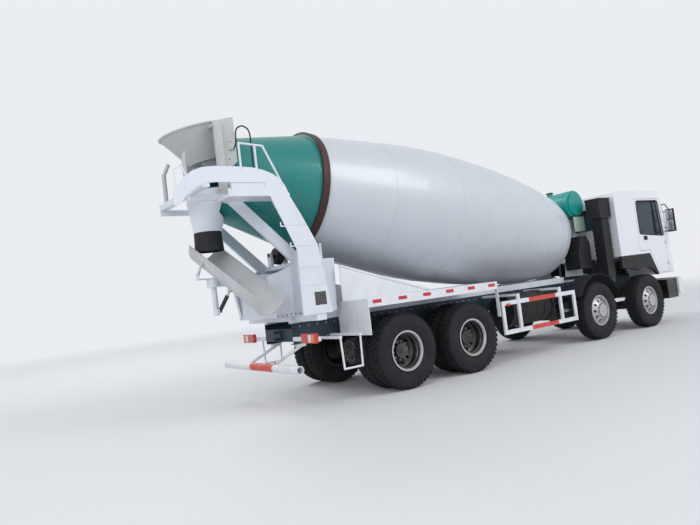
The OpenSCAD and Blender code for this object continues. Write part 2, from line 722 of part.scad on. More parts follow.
module roller_left() roller();
module roller_right() mirror([0, 1, 0]) roller();

/* Chute */
chute_yaw = -72;
chute_slope = 35;
chute_back = 330;
chute_len = 1500;
hinge_z = arm_z + 190;
chute_lift = chute_r + 15;
jack_x = 75;
jack_z = 1450;
jack_u = 420;
jack_v = -30;
pin_r = 10;
eye_r = 26;
eye_bore = pin_r + 6;
module at_swivel() {
    translate([swivel_x, 0, 0]) rotate([0, 0, chute_yaw]) children();
}
module on_chute() {
    at_swivel() translate([0, 0, hinge_z]) rotate([0, chute_slope, 0]) children();
}
// Upper pin of the jack seen from the swivel axis
jack_top = [jack_u * cos(chute_slope) + jack_v * sin(chute_slope),
    hinge_z - jack_u * sin(chute_slope) + jack_v * cos(chute_slope)];
jack_run = jack_top - [jack_x, jack_z];
jack_angle = atan2(jack_run[1], jack_run[0]);
module on_jack() {
    at_swivel() translate([jack_x, 0, jack_z]) rotate([0, -jack_angle, 0]) children();
}
module chute_swivel() {
    color([0.85, 0.86, 0.87]) at_swivel() {
        translate([0, 0, jack_z - 60]) cylinder(r = 40, h = arm_z + 115 - jack_z + 60);
        translate([0, 0, arm_z + 110 + seat]) cylinder(r = 65, h = 20);
        difference() {
            union() {
                both_sides() slab([-25, chute_r + 12, arm_z + 110 + seat], [25, chute_r + 24,
                    hinge_z + 30]);
                slab([-25, -chute_r - 24, arm_z + 110 + seat], [25, chute_r + 24, arm_z + 130]);
            }
            y_disc_at(0, hinge_z, pin_r + 0.2, -400, 400);
        }
        difference() {
            both_sides() slab([0, 16, jack_z - 25], [jack_x + 22, 28, jack_z + 25]);
            y_disc_at(jack_x, jack_z, pin_r + 0.2, -100, 100);
        }
    }
}
module discharge_chute() {
    color([0.8, 0.78, 0.74]) on_chute() {
        difference() {
            union() {
                translate([-chute_back, 0, chute_lift]) rotate([0, 90, 0]) cylinder(r = chute_r,
                    h = chute_len);
                translate([chute_len - chute_back - 40, 0, chute_lift]) rotate([0, 90, 0])
                    cylinder(r = chute_r + 7, h = 40);
                both_sides() slab([-chute_back, chute_r - 6, chute_lift + 8],
                    [chute_len - chute_back, chute_r + 20, chute_lift + 20]);
            }
            translate([-chute_back - 1, 0, chute_lift]) rotate([0, 90, 0]) cylinder(r = chute_r - 8,
                h = chute_len + 2);
            translate([-chute_back - 1, -400, chute_lift + 20]) cube([chute_len + 2, 800, 800]);
        }
        both_sides() {
            slab([-20, chute_r - 4, -18], [20, chute_r + 7, chute_lift + 10]);
            y_disc(pin_r, chute_r, chute_r + 30);
        }
        both_sides() slab([jack_u - 22, 16, jack_v - 22], [jack_u + 22, 26, 30]);
        y_disc_at(jack_u, jack_v, pin_r, -20, 20);
    }
}
barrel_len = 270;
rod_start = 107;
jack_bore = 47;
module jack_barrel() {
    color([0.1, 0.1, 0.11]) on_jack() difference() {
        union() {
            y_disc(eye_r, -10, 10);
            y_disc(pin_r, -28, 28);
            slab([0, -10, -20], [46, 10, 20]);
            translate([40, 0, 0]) rotate([0, 90, 0]) cylinder(r = 28, h = barrel_len - 40);
        }
        translate([jack_bore, 0, 0]) rotate([0, 90, 0]) cylinder(r = 16.1, h = barrel_len);
    }
}
module jack_rod() {
    color([0.75, 0.76, 0.78]) on_jack() difference() {
        union() {
            translate([rod_start, 0, 0]) rotate([0, 90, 0]) cylinder(r = 16,
                h = norm(jack_run) - rod_start - 20);
            y_disc_at(norm(jack_run), 0, eye_r, -10, 10);
        }
        y_disc_at(norm(jack_run), 0, eye_bore, -11, 11);
    }
}

/* Cab */
cab_half = cab_w / 2;
arch_z = 1540;
sill_z = 1060;
// The rear window's half width, sill and head
back_pane_y = 600;
back_pane_low = 2150;
back_pane_high = 2600;
// Columns: how far behind the cab's front at the roof's height, how far below the roof
CROWN = [[40, 250], [120, 70], [200, 22], [330, 0]];
module cab_side_shape(inset) {
    polygon(concat([[cab_back + inset, arch_z + inset], [ax1 + 260, arch_z + inset],
        [ax1 + 530 + inset / 2, sill_z + inset], [cab_front - inset, sill_z + inset],
            [cab_front - inset, 1900]],
        [for (p = CROWN) [cab_front - 90 - p[0] - inset, cab_top - p[1] - inset]],
        [[cab_back + 120, cab_top - inset], [cab_back + 30 + inset, cab_top - 30 - inset],
            [cab_back + inset, cab_top - 120]]));
}
// Outline of the door, and of its window
door_front = cab_front - 160;
door_back = ax1 - 110;
module door_shape(inset) {
    polygon([[door_back + inset, arch_z + 60 + inset], [ax1 + 290 + inset, arch_z + 60 + inset],
        [ax1 + 570 + inset, sill_z + 30 + inset], [door_front - inset, sill_z + 30 + inset],
        [door_front - inset, 1900], [door_front - 110 - inset, cab_top - 170 - inset],
        [door_back + inset, cab_top - 170 - inset]]);
}
module window_shape() {
    polygon([[door_back + 80, 1960], [door_front - 60, 1890], [door_front - 150, cab_top - 240],
        [door_front - 190, cab_top - 215], [door_back + 115, cab_top - 215], [door_back + 80,
            cab_top - 250]]);
}
module across(y0, y1) {
    translate([0, y1, 0]) rotate([90, 0, 0]) linear_extrude(y1 - y0) children();
}
tunnel_y = rail_y + 15;
tunnel_z = 1500;
module tunnel_hollow() {
    slab([ax1 + 100, -tunnel_y, sill_z - 10], [cab_front - cab_t, tunnel_y, tunnel_z]);
}
module cab_shell() {
    color([0.94, 0.95, 0.96]) difference() {
        across(-cab_half, cab_half) cab_side_shape(0);
        across(-cab_half + cab_t, cab_half - cab_t) cab_side_shape(cab_t);
        both_sides() across(cab_half - cab_t - 1, cab_half + 1) door_shape(0);
        slab([cab_front - 200, -cab_half + 90, 1920], [cab_front + 10, cab_half - 90, cab_top - 130]);
        slab([cab_back - 10, -back_pane_y, back_pane_low], [cab_back + cab_t + 10, back_pane_y,
            back_pane_high]);
        tunnel_hollow();
    }
    color([0.94, 0.95, 0.96]) {
        difference() {
            slab([ax1 + 240, -tunnel_y - cab_t, sill_z + 10], [cab_front - cab_t + 2, tunnel_y + cab_t,
                tunnel_z + cab_t]);
            tunnel_hollow();
            translate([ax1 + 250, -500, arch_z]) rotate([0, 60.6, 0]) translate([-200, 0,
                -900]) cube([900, 1000, 900]);
        }
        difference() {
            both_sides() {
                y_disc_at(tilt_x, tilt_z, 34, tilt_y + 5, tilt_y + 50);
                slab([tilt_x - 30, tilt_y + 5, tilt_z], [tilt_x + 30, tilt_y + 50, sill_z + 20]);
            }
            y_disc_at(tilt_x, tilt_z, 20.3, -600, 600);
        }
        both_sides() for (z = HINGE_Z)
            door_hinge(z);
    }
}
// Heights of the door hinges
HINGE_Z = [1300, 1750];
hinge_x = door_front - 4;
hinge_y = cab_half + 16;
module door_hinge(z) {
    translate([hinge_x, hinge_y, z - 40]) cylinder(r = 8, h = 80);
    for (dz = [-40, 24]) {
        translate([hinge_x, hinge_y, z + dz]) cylinder(r = 14, h = 16);
        slab([hinge_x + 5, cab_half - 2, z + dz], [hinge_x + 50, hinge_y + 10, z + dz + 16]);
    }
}
module hinge_lug(z) {
    difference() {
        union() {
            translate([hinge_x, hinge_y, z - 20]) cylinder(r = 14, h = 40);
            slab([hinge_x - 60, cab_half - 2, z - 20], [hinge_x - 5, hinge_y + 10, z + 20]);
        }
        translate([hinge_x, hinge_y, z - 21]) cylinder(r = 8.1, h = 42);
    }
}
glass_t = 6;
module cab_glass() {
    slope = 130 / (cab_top - 250 - 1900);
    color([0.3, 0.38, 0.42]) {
        slab([cab_back + 20, -back_pane_y, back_pane_low],
            [cab_back + 20 + glass_t, back_pane_y, back_pane_high]);
        across(-cab_half + 90, cab_half - 90) polygon([for (p = [[12, 1920], [12 + glass_t, 1920],
            [12 + glass_t, cab_top - 130], [12,
                cab_top - 130]]) [cab_front - (p[1] - 1900) * slope - p[0], p[1]]]);
    }
}
wheel_x = cab_front - 540;
wheel_y = 560;
wheel_z = 1960;
module cab_fittings() {
    color([0.08, 0.08, 0.09]) {
        visor();
        both_sides() {
            slab([cab_front - 90, cab_half + 40, 1950], [cab_front - 60, cab_half + 220, 2450]);
            for (z = [2050, 2400])
                slab([cab_front - 90, cab_half + seat, z - 15], [cab_front - 60, cab_half + 50, z + 15]);
            difference() {
                across(cab_half - 60, cab_half) polygon([[cab_back, arch_z - seat], [ax1 + 260,
                    arch_z - seat],
                    [ax1 + 520, sill_z + 10], [ax1 + 460, sill_z], [ax1 - 620, 1290], [cab_back, 1290]]);
                y_disc_at(ax1, hub_z, arch_r, 0, 2000);
            }
        }
        difference() {
            slab([cab_front + seat, -900, 1180], [cab_front + 25, 900, 1800]);
            for (z = [1240:90:1700])
                slab([cab_front + 8, -820, z], [cab_front + 30, 820, z + 50]);
        }
        dash_x = cab_front - cab_t - seat;
        across(-1000, 1000) polygon([[dash_x, 1640], [dash_x, 1890], [dash_x - 190, 1880],
            [dash_x - 270, 1800],
            [dash_x - 250, 1640]]);
        translate([wheel_x, wheel_y, wheel_z]) rotate([0, -55, 0]) {
            rotate_extrude() translate([220, 0]) circle(r = 15, $fn = 24);
            for (a = [90, 210, 330])
                rotate([0, 0, a]) rod([30, 0, 0], [215, 0, 0], 12);
            translate([0, 0, -18]) cylinder(r = 60, h = 30);
            rod([0, 0, 0], [0, 0, -310], 28);
        }
    }
}
function crown_x(z) = cab_front - 130 - (z - cab_top + 250) * 4 / 9 + 2 * seat;
module visor() {
    low = cab_top - 106;
    high = cab_top - 74;
    across(-1010, 1010) polygon([[crown_x(low), low], [crown_x(low) + 95, low - 62],
        [crown_x(low) + 105, low - 48], [crown_x(high) + 25, high], [crown_x(high), high]]);
}
module seat_shape() {
    floor_z = arch_z + cab_t + seat;
    slab([ax1 - 220, 480, floor_z], [ax1 + 150, 920, floor_z + 90]);
    slab([ax1 - 280, 450, floor_z + 85], [ax1 + 200, 950, floor_z + 190]);
    for (y = [450, 890])
        slab([ax1 - 250, y, floor_z + 180], [ax1 + 190, y + 60, floor_z + 215]);
    across(450, 950) polygon([[ax1 - 290, floor_z + 150], [ax1 - 180, floor_z + 150], [ax1 - 230, 2290],
        [ax1 - 310, 2290]]);
    across(560, 840) polygon([[ax1 - 300, 2280], [ax1 - 240, 2280], [ax1 - 255, 2480], [ax1 - 305, 2480]]);
}
module cab_interior() {
    color([0.3, 0.31, 0.33]) both_sides() seat_shape();
}
module door() {
    difference() {
        across(cab_half - cab_t, cab_half) door_shape(door_gap);
        across(cab_half - cab_t - 1, cab_half + 1) window_shape();
    }
    for (z = HINGE_Z)
        hinge_lug(z);
}
module door_left() color([0.94, 0.95, 0.96]) door();
module door_right() color([0.94, 0.95, 0.96]) mirror([0, 1, 0]) door();
module door_pane() {
    across(cab_half - 30, cab_half - 24) window_shape();
}
module door_glass_left() color([0.3, 0.38, 0.42]) door_pane();
module door_glass_right() color([0.3, 0.38, 0.42]) mirror([0, 1, 0]) door_pane();

/* Steering knuckles */
module knuckle(x) {
    translate([x, 0, hub_z]) {
        translate([0, king_y, -95]) cylinder(r = 25, h = 190);
        for (z = [-95, 56])
            translate([0, king_y, z]) cylinder(r = 48, h = 39);
        slab([-40, king_y + 51, -95], [40, king_y + 80, 95]);
        for (z = [-95, 56])
            slab([-40, king_y, z], [40, king_y + 55, z + 39]);
        y_disc(45, king_y + 75, steer_y + 120);
    }
}
module knuckle_1_left() color([0.25, 0.26, 0.27]) knuckle(ax1);
module knuckle_1_right() color([0.25, 0.26, 0.27]) mirror([0, 1, 0]) knuckle(ax1);
module knuckle_2_left() color([0.25, 0.26, 0.27]) knuckle(ax2);
module knuckle_2_right() color([0.25, 0.26, 0.27]) mirror([0, 1, 0]) knuckle(ax2);

/* Wheels, with their axis along Y and their outer side towards +Y */
bead_r = rim_r - 12;
module tyre() {
    w = tyre_w / 2;
    rotate([90, 0, 0]) rotate_extrude() polygon([[rim_r + 1, w - 35], [rim_r + 60, w - 8], [rim_r + 130, w],
        [tyre_r - 70, w - 10], [tyre_r - 22, w - 24], [tyre_r, w - 45],
        [tyre_r, -w + 45], [tyre_r - 22, -w + 24], [tyre_r - 70, -w + 10], [rim_r + 130, -w],
        [rim_r + 60, -w + 8], [rim_r + 1, -w + 35]]);
}
rim_half = 112;
module rim_barrel() {
    rotate([90, 0, 0]) rotate_extrude() polygon([[rim_r, rim_half], [rim_r, rim_half - 8], [bead_r - 8,
        rim_half - 22],
        [bead_r - 14, 40], [bead_r - 30, 25], [bead_r - 30, -25], [bead_r - 14, -40], [bead_r - 8,
            -rim_half + 22],
        [rim_r, -rim_half + 8], [rim_r, -rim_half], [bead_r - 10, -rim_half], [bead_r - 20, -rim_half + 20],
        [bead_r - 26, -40], [bead_r - 42, -25], [bead_r - 42, 25], [bead_r - 26, 40],
        [bead_r - 20, rim_half - 20], [bead_r - 10, rim_half]]);
}
module hand_holes(count, pcd, r) {
    for (i = [0:count - 1])
        rotate([0, i * 360 / count, 0]) translate([pcd, 0, 0]) rotate([90, 0, 0]) cylinder(r = r,
            h = 80, center = true);
}
hub_bore = 45.3;
disc_y = 150;
module steer_rim() {
    difference() {
        union() {
            rim_barrel();
            rotate([90, 0, 0]) rotate_extrude() polygon([[hub_bore + 20, -disc_y], [150, -disc_y],
                [215, -100], [bead_r - 20, -60],
                [bead_r - 20, -48], [210, -86], [146, -disc_y + 14], [hub_bore + 20, -disc_y + 14]]);
            y_disc(120, -10, disc_y + 20);
            y_disc(190, -60, 0);
        }
        y_disc(hub_bore, -61, 125);
        translate([0, 115, 0]) hand_holes(10, 190, 26);
    }
}
module twin_rims() {
    difference() {
        union() {
            for (side = [-1, 1])
                translate([0, side * twin_pitch / 2, 0]) rim_barrel();
            for (side = [0, 1]) mirror([0, side, 0])
                rotate([90, 0, 0]) rotate_extrude() polygon([[80, -12], [170, -12], [225, -60],
                    [bead_r - 14, -90],
                    [bead_r - 14, -78], [222, -46], [174, 0], [80, 0]]);
            y_disc(165, -170, 30);
            y_disc(110, 25, 150);
        }
        y_disc(70.3, -171, 100);
        for (y = [-60, 60]) translate([0, y, 0]) hand_holes(10, 205, 22);
    }
}
module steer_wheel_place(x, side) {
    translate([x, side * steer_y, hub_z]) mirror([0, side < 0 ? 1 : 0, 0]) children();
}
module twin_place(x, side) {
    translate([x, side * twin_y, hub_z]) mirror([0, side < 0 ? 1 : 0, 0]) children();
}
module twin_tyres() {
    for (side = [-1, 1])
        translate([0, side * twin_pitch / 2, 0]) tyre();
}
steel = [0.72, 0.74, 0.76];
rubber = [0.06, 0.06, 0.07];
module rim_1_left() color(steel) steer_wheel_place(ax1, 1) steer_rim();
module rim_1_right() color(steel) steer_wheel_place(ax1, -1) steer_rim();
module rim_2_left() color(steel) steer_wheel_place(ax2, 1) steer_rim();
module rim_2_right() color(steel) steer_wheel_place(ax2, -1) steer_rim();
module rim_3_left() color(steel) twin_place(ax3, 1) twin_rims();
module rim_3_right() color(steel) twin_place(ax3, -1) twin_rims();
module rim_4_left() color(steel) twin_place(ax4, 1) twin_rims();
module rim_4_right() color(steel) twin_place(ax4, -1) twin_rims();
module tyre_1_left() color(rubber) steer_wheel_place(ax1, 1) tyre();
module tyre_1_right() color(rubber) steer_wheel_place(ax1, -1) tyre();
module tyre_2_left() color(rubber) steer_wheel_place(ax2, 1) tyre();
module tyre_2_right() color(rubber) steer_wheel_place(ax2, -1) tyre();
module tyre_3_left() color(rubber) twin_place(ax3, 1) twin_tyres();
module tyre_3_right() color(rubber) twin_place(ax3, -1) twin_tyres();
module tyre_4_left() color(rubber) twin_place(ax4, 1) twin_tyres();
module tyre_4_right() color(rubber) twin_place(ax4, -1) twin_tyres();

chassis_rails();
cross_members();
mixer_subframe();
axle_beams();
leaf_springs();
power_train();
chassis_tanks();
guard_rails();
rear_mudguards();
arch_mudguards();
front_bumper();
rear_lamps();
rear_pedestal();
ladder_platform();
feed_hopper();
discharge_collector();
collector_skirt();
drum_gearbox();
water_tank();
cooler_unit();
drum_rear();
drum_middle();
drum_front();
drum_ring();
roller_left();
roller_right();
chute_swivel();
discharge_chute();
jack_barrel();
jack_rod();
cab_shell();
cab_glass();
cab_fittings();
cab_interior();
door_left();
door_right();
door_glass_left();
door_glass_right();
knuckle_1_left();
knuckle_1_right();
knuckle_2_left();
knuckle_2_right();
rim_1_left();
rim_1_right();
rim_2_left();
rim_2_right();
rim_3_left();
rim_3_right();
rim_4_left();
rim_4_right();
tyre_1_left();
tyre_1_right();
tyre_2_left();
tyre_2_right();
tyre_3_left();
tyre_3_right();
tyre_4_left();
tyre_4_right();
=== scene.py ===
"""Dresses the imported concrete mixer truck: finishes for its solids, and pieces that ride on it.

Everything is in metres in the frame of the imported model: +X forward, +Y left, +Z up, and the
ground at zero.
"""
from __future__ import annotations

import json
import logging
import math
from abc import ABC, abstractmethod
from dataclasses import dataclass, field
from enum import Enum
from typing import Any, Iterable, Sequence

import bmesh
import bpy
from mathutils import Matrix, Vector

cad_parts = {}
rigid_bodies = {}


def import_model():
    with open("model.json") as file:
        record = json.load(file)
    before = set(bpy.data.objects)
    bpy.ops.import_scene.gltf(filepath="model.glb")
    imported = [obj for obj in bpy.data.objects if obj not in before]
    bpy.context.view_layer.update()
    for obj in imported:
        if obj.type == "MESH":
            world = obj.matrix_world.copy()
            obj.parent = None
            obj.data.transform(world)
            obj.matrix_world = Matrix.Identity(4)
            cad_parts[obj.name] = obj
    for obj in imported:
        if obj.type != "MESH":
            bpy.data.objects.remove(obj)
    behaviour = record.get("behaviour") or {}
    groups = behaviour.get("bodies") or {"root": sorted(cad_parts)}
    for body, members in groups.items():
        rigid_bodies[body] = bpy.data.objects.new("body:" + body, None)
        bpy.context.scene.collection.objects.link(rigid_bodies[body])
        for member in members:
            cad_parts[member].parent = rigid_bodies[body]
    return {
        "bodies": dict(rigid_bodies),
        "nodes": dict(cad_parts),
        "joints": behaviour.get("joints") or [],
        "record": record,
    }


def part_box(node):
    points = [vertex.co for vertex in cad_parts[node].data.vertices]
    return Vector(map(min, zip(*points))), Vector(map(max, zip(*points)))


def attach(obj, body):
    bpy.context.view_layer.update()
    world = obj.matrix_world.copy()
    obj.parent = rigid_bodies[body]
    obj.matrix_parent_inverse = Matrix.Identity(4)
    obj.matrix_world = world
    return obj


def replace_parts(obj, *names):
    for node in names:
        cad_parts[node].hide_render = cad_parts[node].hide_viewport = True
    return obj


LOG = logging.getLogger("mixer_truck")
STEERED = (1, 2)
DRIVEN = (3, 4)
Point = tuple[float, float, float]
Colour = tuple[float, float, float]
Span = tuple[float, float]
Section = Sequence[tuple[float, float]]
Box = tuple[Span, Span, Span]


def srgb(red: int, green: int, blue: int) -> Colour:
    """Turns a colour as seen on screen into the linear values that shaders take.

    Args:
        red: Red from 0 to 255.
        green: Green from 0 to 255.
        blue: Blue from 0 to 255.

    Returns:
        The three linear values from 0 to 1.
    """
    def linear(value: int) -> float:
        """One channel's linear value."""
        share = value / 255.0
        return share / 12.92 if share <= 0.04045 else ((share + 0.055) / 1.055) ** 2.4

    return (linear(red), linear(green), linear(blue))


class Side(Enum):
    """The two sides of the truck, with the sign of their Y."""

    LEFT = 1
    RIGHT = -1

    @property
    def word(self) -> str:
        """The side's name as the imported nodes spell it."""
        return self.name.lower()

    def put(self, point: Point) -> Point:
        """Gives a point of the left side on this side."""
        return (point[0], point[1] * self.value, point[2])

    def span(self, near: float, far: float) -> Span:
        """Gives the lowest and highest Y between two distances from the middle plane."""
        low, high = sorted((near * self.value, far * self.value))
        return (low, high)


class Sketch:
    """Places and joins nodes in one node tree."""

    def __init__(self, tree: bpy.types.NodeTree) -> None:
        """Keeps the tree that the nodes go into."""
        self.tree = tree

    def fill(self, node: bpy.types.Node, inputs: dict[Any, Any]) -> None:
        """Sets or joins a node's inputs.

        Args:
            node: The node.
            inputs: Input name or number to an output socket to join or a plain value. A colour
                may leave its alpha out.
        """
        for key, value in inputs.items():
            socket = node.inputs[key]
            if isinstance(value, bpy.types.NodeSocket):
                self.tree.links.new(value, socket)
            else:
                socket.default_value = (*value, 1.0) if socket.type == "RGBA" else value

    def add(self, kind: str, inputs: dict[Any, Any] | None = None,
            **settings: Any) -> bpy.types.Node:
        """Adds a node, sets its options, and fills its inputs.

        Args:
            kind: The node's type name.
            inputs: The inputs, as fill takes them.
            **settings: Options of the node itself.

        Returns:
            The new node.
        """
        node = self.tree.nodes.new(kind)
        for name, value in settings.items():
            setattr(node, name, value)
        self.fill(node, inputs or {})
        return node

    def math(self, operation: str, first: Any, second: Any = 0.0,
             clamp: bool = False) -> bpy.types.NodeSocket:
        """Adds a Math node and returns its result."""
        node = self.add("ShaderNodeMath", {0: first, 1: second}, operation=operation,
                        use_clamp=clamp)
        return node.outputs[0]

    def place(self) -> bpy.types.NodeSocket:
        """Gives the place on the object, which is its place on the truck."""
        return self.add("ShaderNodeTexCoord").outputs["Object"]

    def split(self, vector: bpy.types.NodeSocket) -> Any:
        """Splits a vector and returns its parts, by the names X, Y and Z."""
        return self.add("ShaderNodeSeparateXYZ", {0: vector}).outputs

    def noise(self, place: bpy.types.NodeSocket, scale: Any, detail: float,
              roughness: float = 0.5) -> bpy.types.NodeSocket:
        """Adds a noise texture and returns its value."""
        node = self.add("ShaderNodeTexNoise", {
            "Vector": place, "Scale": scale, "Detail": detail, "Roughness": roughness})
        return node.outputs["Fac"]

    def ramp(self, factor: bpy.types.NodeSocket, low: float, high: float) -> bpy.types.NodeSocket:
        """Spreads the stretch from low to high over 0 to 1, smoothly, and returns it."""
        node = self.add("ShaderNodeMapRange", {"Value": factor, "From Min": low, "From Max": high},
                        interpolation_type="SMOOTHSTEP", clamp=True)
        return node.outputs["Result"]

    def blend(self, factor: Any, first: Any, second: Any) -> bpy.types.NodeSocket:
        """Mixes two colours and returns the result."""
        return self.add("ShaderNodeMix", {0: factor, 6: first, 7: second},
                        data_type="RGBA").outputs[2]

    def mix(self, factor: Any, first: float, second: float) -> bpy.types.NodeSocket:
        """Mixes two numbers and returns the result."""
        return self.add("ShaderNodeMix", {0: factor, 2: first, 3: second},
                        data_type="FLOAT").outputs[0]


def new_material(name: str) -> tuple[bpy.types.Material, Sketch, bpy.types.Node]:
    """Starts a material.

    Args:
        name: The material's name.

    Returns:
        The material, a sketch of its nodes, and its Principled shader.
    """
    material = bpy.data.materials.new(name)
    material.use_nodes = True
    return material, Sketch(material.node_tree), material.node_tree.nodes["Principled BSDF"]


class SharedEffect(Enum):
    """The shader groups that several finishes place."""

    ROAD_DIRT = "road_dirt"
    FINE_GRAIN = "fine_grain"
    RAIN_STREAKS = "rain_streaks"


class EffectShelf:
    """Builds each shared shader group once and hands it out."""

    DIRT_CLOUDS: Span = (0.38, 0.68)
    DIRT_EVERYWHERE = 0.12
    STREAK_CLOUDS: Span = (0.5, 0.78)
    STREAK_STRETCH: Point = (1.0, 1.0, 0.07)

    def __init__(self) -> None:
        """Starts with nothing built."""
        self._groups: dict[SharedEffect, bpy.types.NodeTree] = {}

    def get(self, effect: SharedEffect) -> bpy.types.NodeTree:
        """Gives the group for an effect, building it the first time.

        Args:
            effect: The wanted effect.

        Returns:
            The shader node group.
        """
        if effect not in self._groups:
            builders = {SharedEffect.ROAD_DIRT: self._road_dirt,
                        SharedEffect.FINE_GRAIN: self._fine_grain,
                        SharedEffect.RAIN_STREAKS: self._rain_streaks}
            self._groups[effect] = builders[effect]()
        return self._groups[effect]

    @staticmethod
    def _start(effect: SharedEffect, inputs: dict[str, float],
               outputs: Sequence[str]) -> tuple[Sketch, Any]:
        """Starts a group with number inputs and outputs.

        Args:
            effect: The effect that the group is for.
            inputs: Input names to the values they start with.
            outputs: Output names.

        Returns:
            A sketch of the group, and what its inputs give.
        """
        tree = bpy.data.node_groups.new(effect.value, "ShaderNodeTree")
        for label, value in inputs.items():
            socket = tree.interface.new_socket(label, in_out="INPUT", socket_type="NodeSocketFloat")
            socket.default_value = value
        for label in outputs:
            tree.interface.new_socket(label, in_out="OUTPUT", socket_type="NodeSocketFloat")
        sketch = Sketch(tree)
        return sketch, sketch.add("NodeGroupInput").outputs

    def _road_dirt(self) -> bpy.types.NodeTree:
        """Dust that is thick near the road and thins out towards a height."""
        sketch, given = self._start(SharedEffect.ROAD_DIRT,
                                    {"Top": 1.4, "Amount": 0.5, "Scale": 5.0}, ["Mask"])
        place = sketch.place()
        noise = sketch.noise(place, given["Scale"], detail=6.0, roughness=0.65)
        clouds = sketch.ramp(noise, *self.DIRT_CLOUDS)
        height = sketch.math("DIVIDE", sketch.split(place)["Z"], given["Top"])
        low = sketch.math("SUBTRACT", 1.0, height, clamp=True)
        mixed = sketch.math("MULTIPLY", clouds, sketch.math("ADD", low, self.DIRT_EVERYWHERE))
        mask = sketch.math("MULTIPLY", mixed, given["Amount"], clamp=True)
        sketch.add("NodeGroupOutput", {"Mask": mask})
        return sketch.tree

    def _fine_grain(self) -> bpy.types.NodeTree:
        """An even small grain as a height, and a broad change of tone."""
        sketch, given = self._start(SharedEffect.FINE_GRAIN, {"Scale": 300.0, "Broad": 2.0},
                                    ["Height", "Tone"])
        place = sketch.place()
        small = sketch.noise(place, given["Scale"], detail=2.0)
        broad = sketch.noise(place, given["Broad"], detail=4.0, roughness=0.6)
        sketch.add("NodeGroupOutput", {"Height": small, "Tone": broad})
        return sketch.tree

    def _rain_streaks(self) -> bpy.types.NodeTree:
        """Faint runs of dirt that rain leaves on upright walls."""
        sketch, given = self._start(SharedEffect.RAIN_STREAKS, {"Spacing": 9.0, "Amount": 0.4},
                                    ["Mask"])
        drawn = sketch.add("ShaderNodeMapping", {"Vector": sketch.place(),
                                                 "Scale": self.STREAK_STRETCH}).outputs[0]
        noise = sketch.noise(drawn, given["Spacing"], detail=5.0, roughness=0.7)
        lines = sketch.ramp(noise, *self.STREAK_CLOUDS)
        mask = sketch.math("MULTIPLY", lines, given["Amount"], clamp=True)
        sketch.add("NodeGroupOutput", {"Mask": mask})
        return sketch.tree


SHELF = EffectShelf()
DUST = srgb(168, 158, 142)
DUSTY_ROUGHNESS = 0.85
BROAD_TONE_SCALE = 1.7
GRAIN_DEPTH = 0.002
COAT_ROUGHNESS = 0.12


@dataclass(frozen=True)
class Finish:
    """One finish of the truck: its base colour and how worn and dusty it is."""

    name: str
    colour: Colour
    roughness: float = 0.5
    metallic: float = 0.0
    coat: float = 0.0
    dust: float = 0.3
    dust_top: float = 1.5
    streaks: float = 0.0
    grain: float = 0.1
    grain_scale: float = 300.0
    tone: float = 0.12

    def paint(self, sketch: Sketch) -> Any:
        """Gives the clean colour: a plain colour here, a pattern in some finishes.

        Args:
            sketch: The material's nodes.

        Returns:
            A plain colour or a colour socket.
        """
        return self.colour

    def build(self) -> bpy.types.Material:
        """Makes the material with its grain, streaks and road dust.

        Returns:
            The new material.
        """
        material, sketch, shader = new_material(self.name)
        grain = self._effect(sketch, SharedEffect.FINE_GRAIN,
                             {"Scale": self.grain_scale, "Broad": BROAD_TONE_SCALE})
        tone = sketch.math("MULTIPLY", sketch.math("SUBTRACT", grain["Tone"], 0.5), self.tone)
        toned = sketch.add("ShaderNodeHueSaturation", {"Value": sketch.math("ADD", 1.0, tone),
                                                       "Color": self.paint(sketch)})
        mask = self._effect(sketch, SharedEffect.ROAD_DIRT,
                            {"Top": self.dust_top, "Amount": self.dust})["Mask"]
        if self.streaks > 0:
            runs = self._effect(sketch, SharedEffect.RAIN_STREAKS, {"Amount": self.streaks})
            mask = sketch.math("MAXIMUM", mask, runs["Mask"])
        bump = sketch.add("ShaderNodeBump", {"Strength": self.grain, "Distance": GRAIN_DEPTH,
                                             "Height": grain["Height"]})
        sketch.fill(shader, {
            "Base Color": sketch.blend(mask, toned.outputs["Color"], DUST),
            "Roughness": sketch.mix(mask, self.roughness, DUSTY_ROUGHNESS),
            "Normal": bump.outputs["Normal"], "Metallic": self.metallic,
            "Coat Weight": self.coat, "Coat Roughness": COAT_ROUGHNESS})
        return material

    @staticmethod
    def _effect(sketch: Sketch, effect: SharedEffect, values: dict[str, float]) -> Any:
        """Places a shared group with this material's own values, and returns its outputs."""
        node = sketch.add("ShaderNodeGroup", node_tree=SHELF.get(effect))
        sketch.fill(node, values)
        return node.outputs


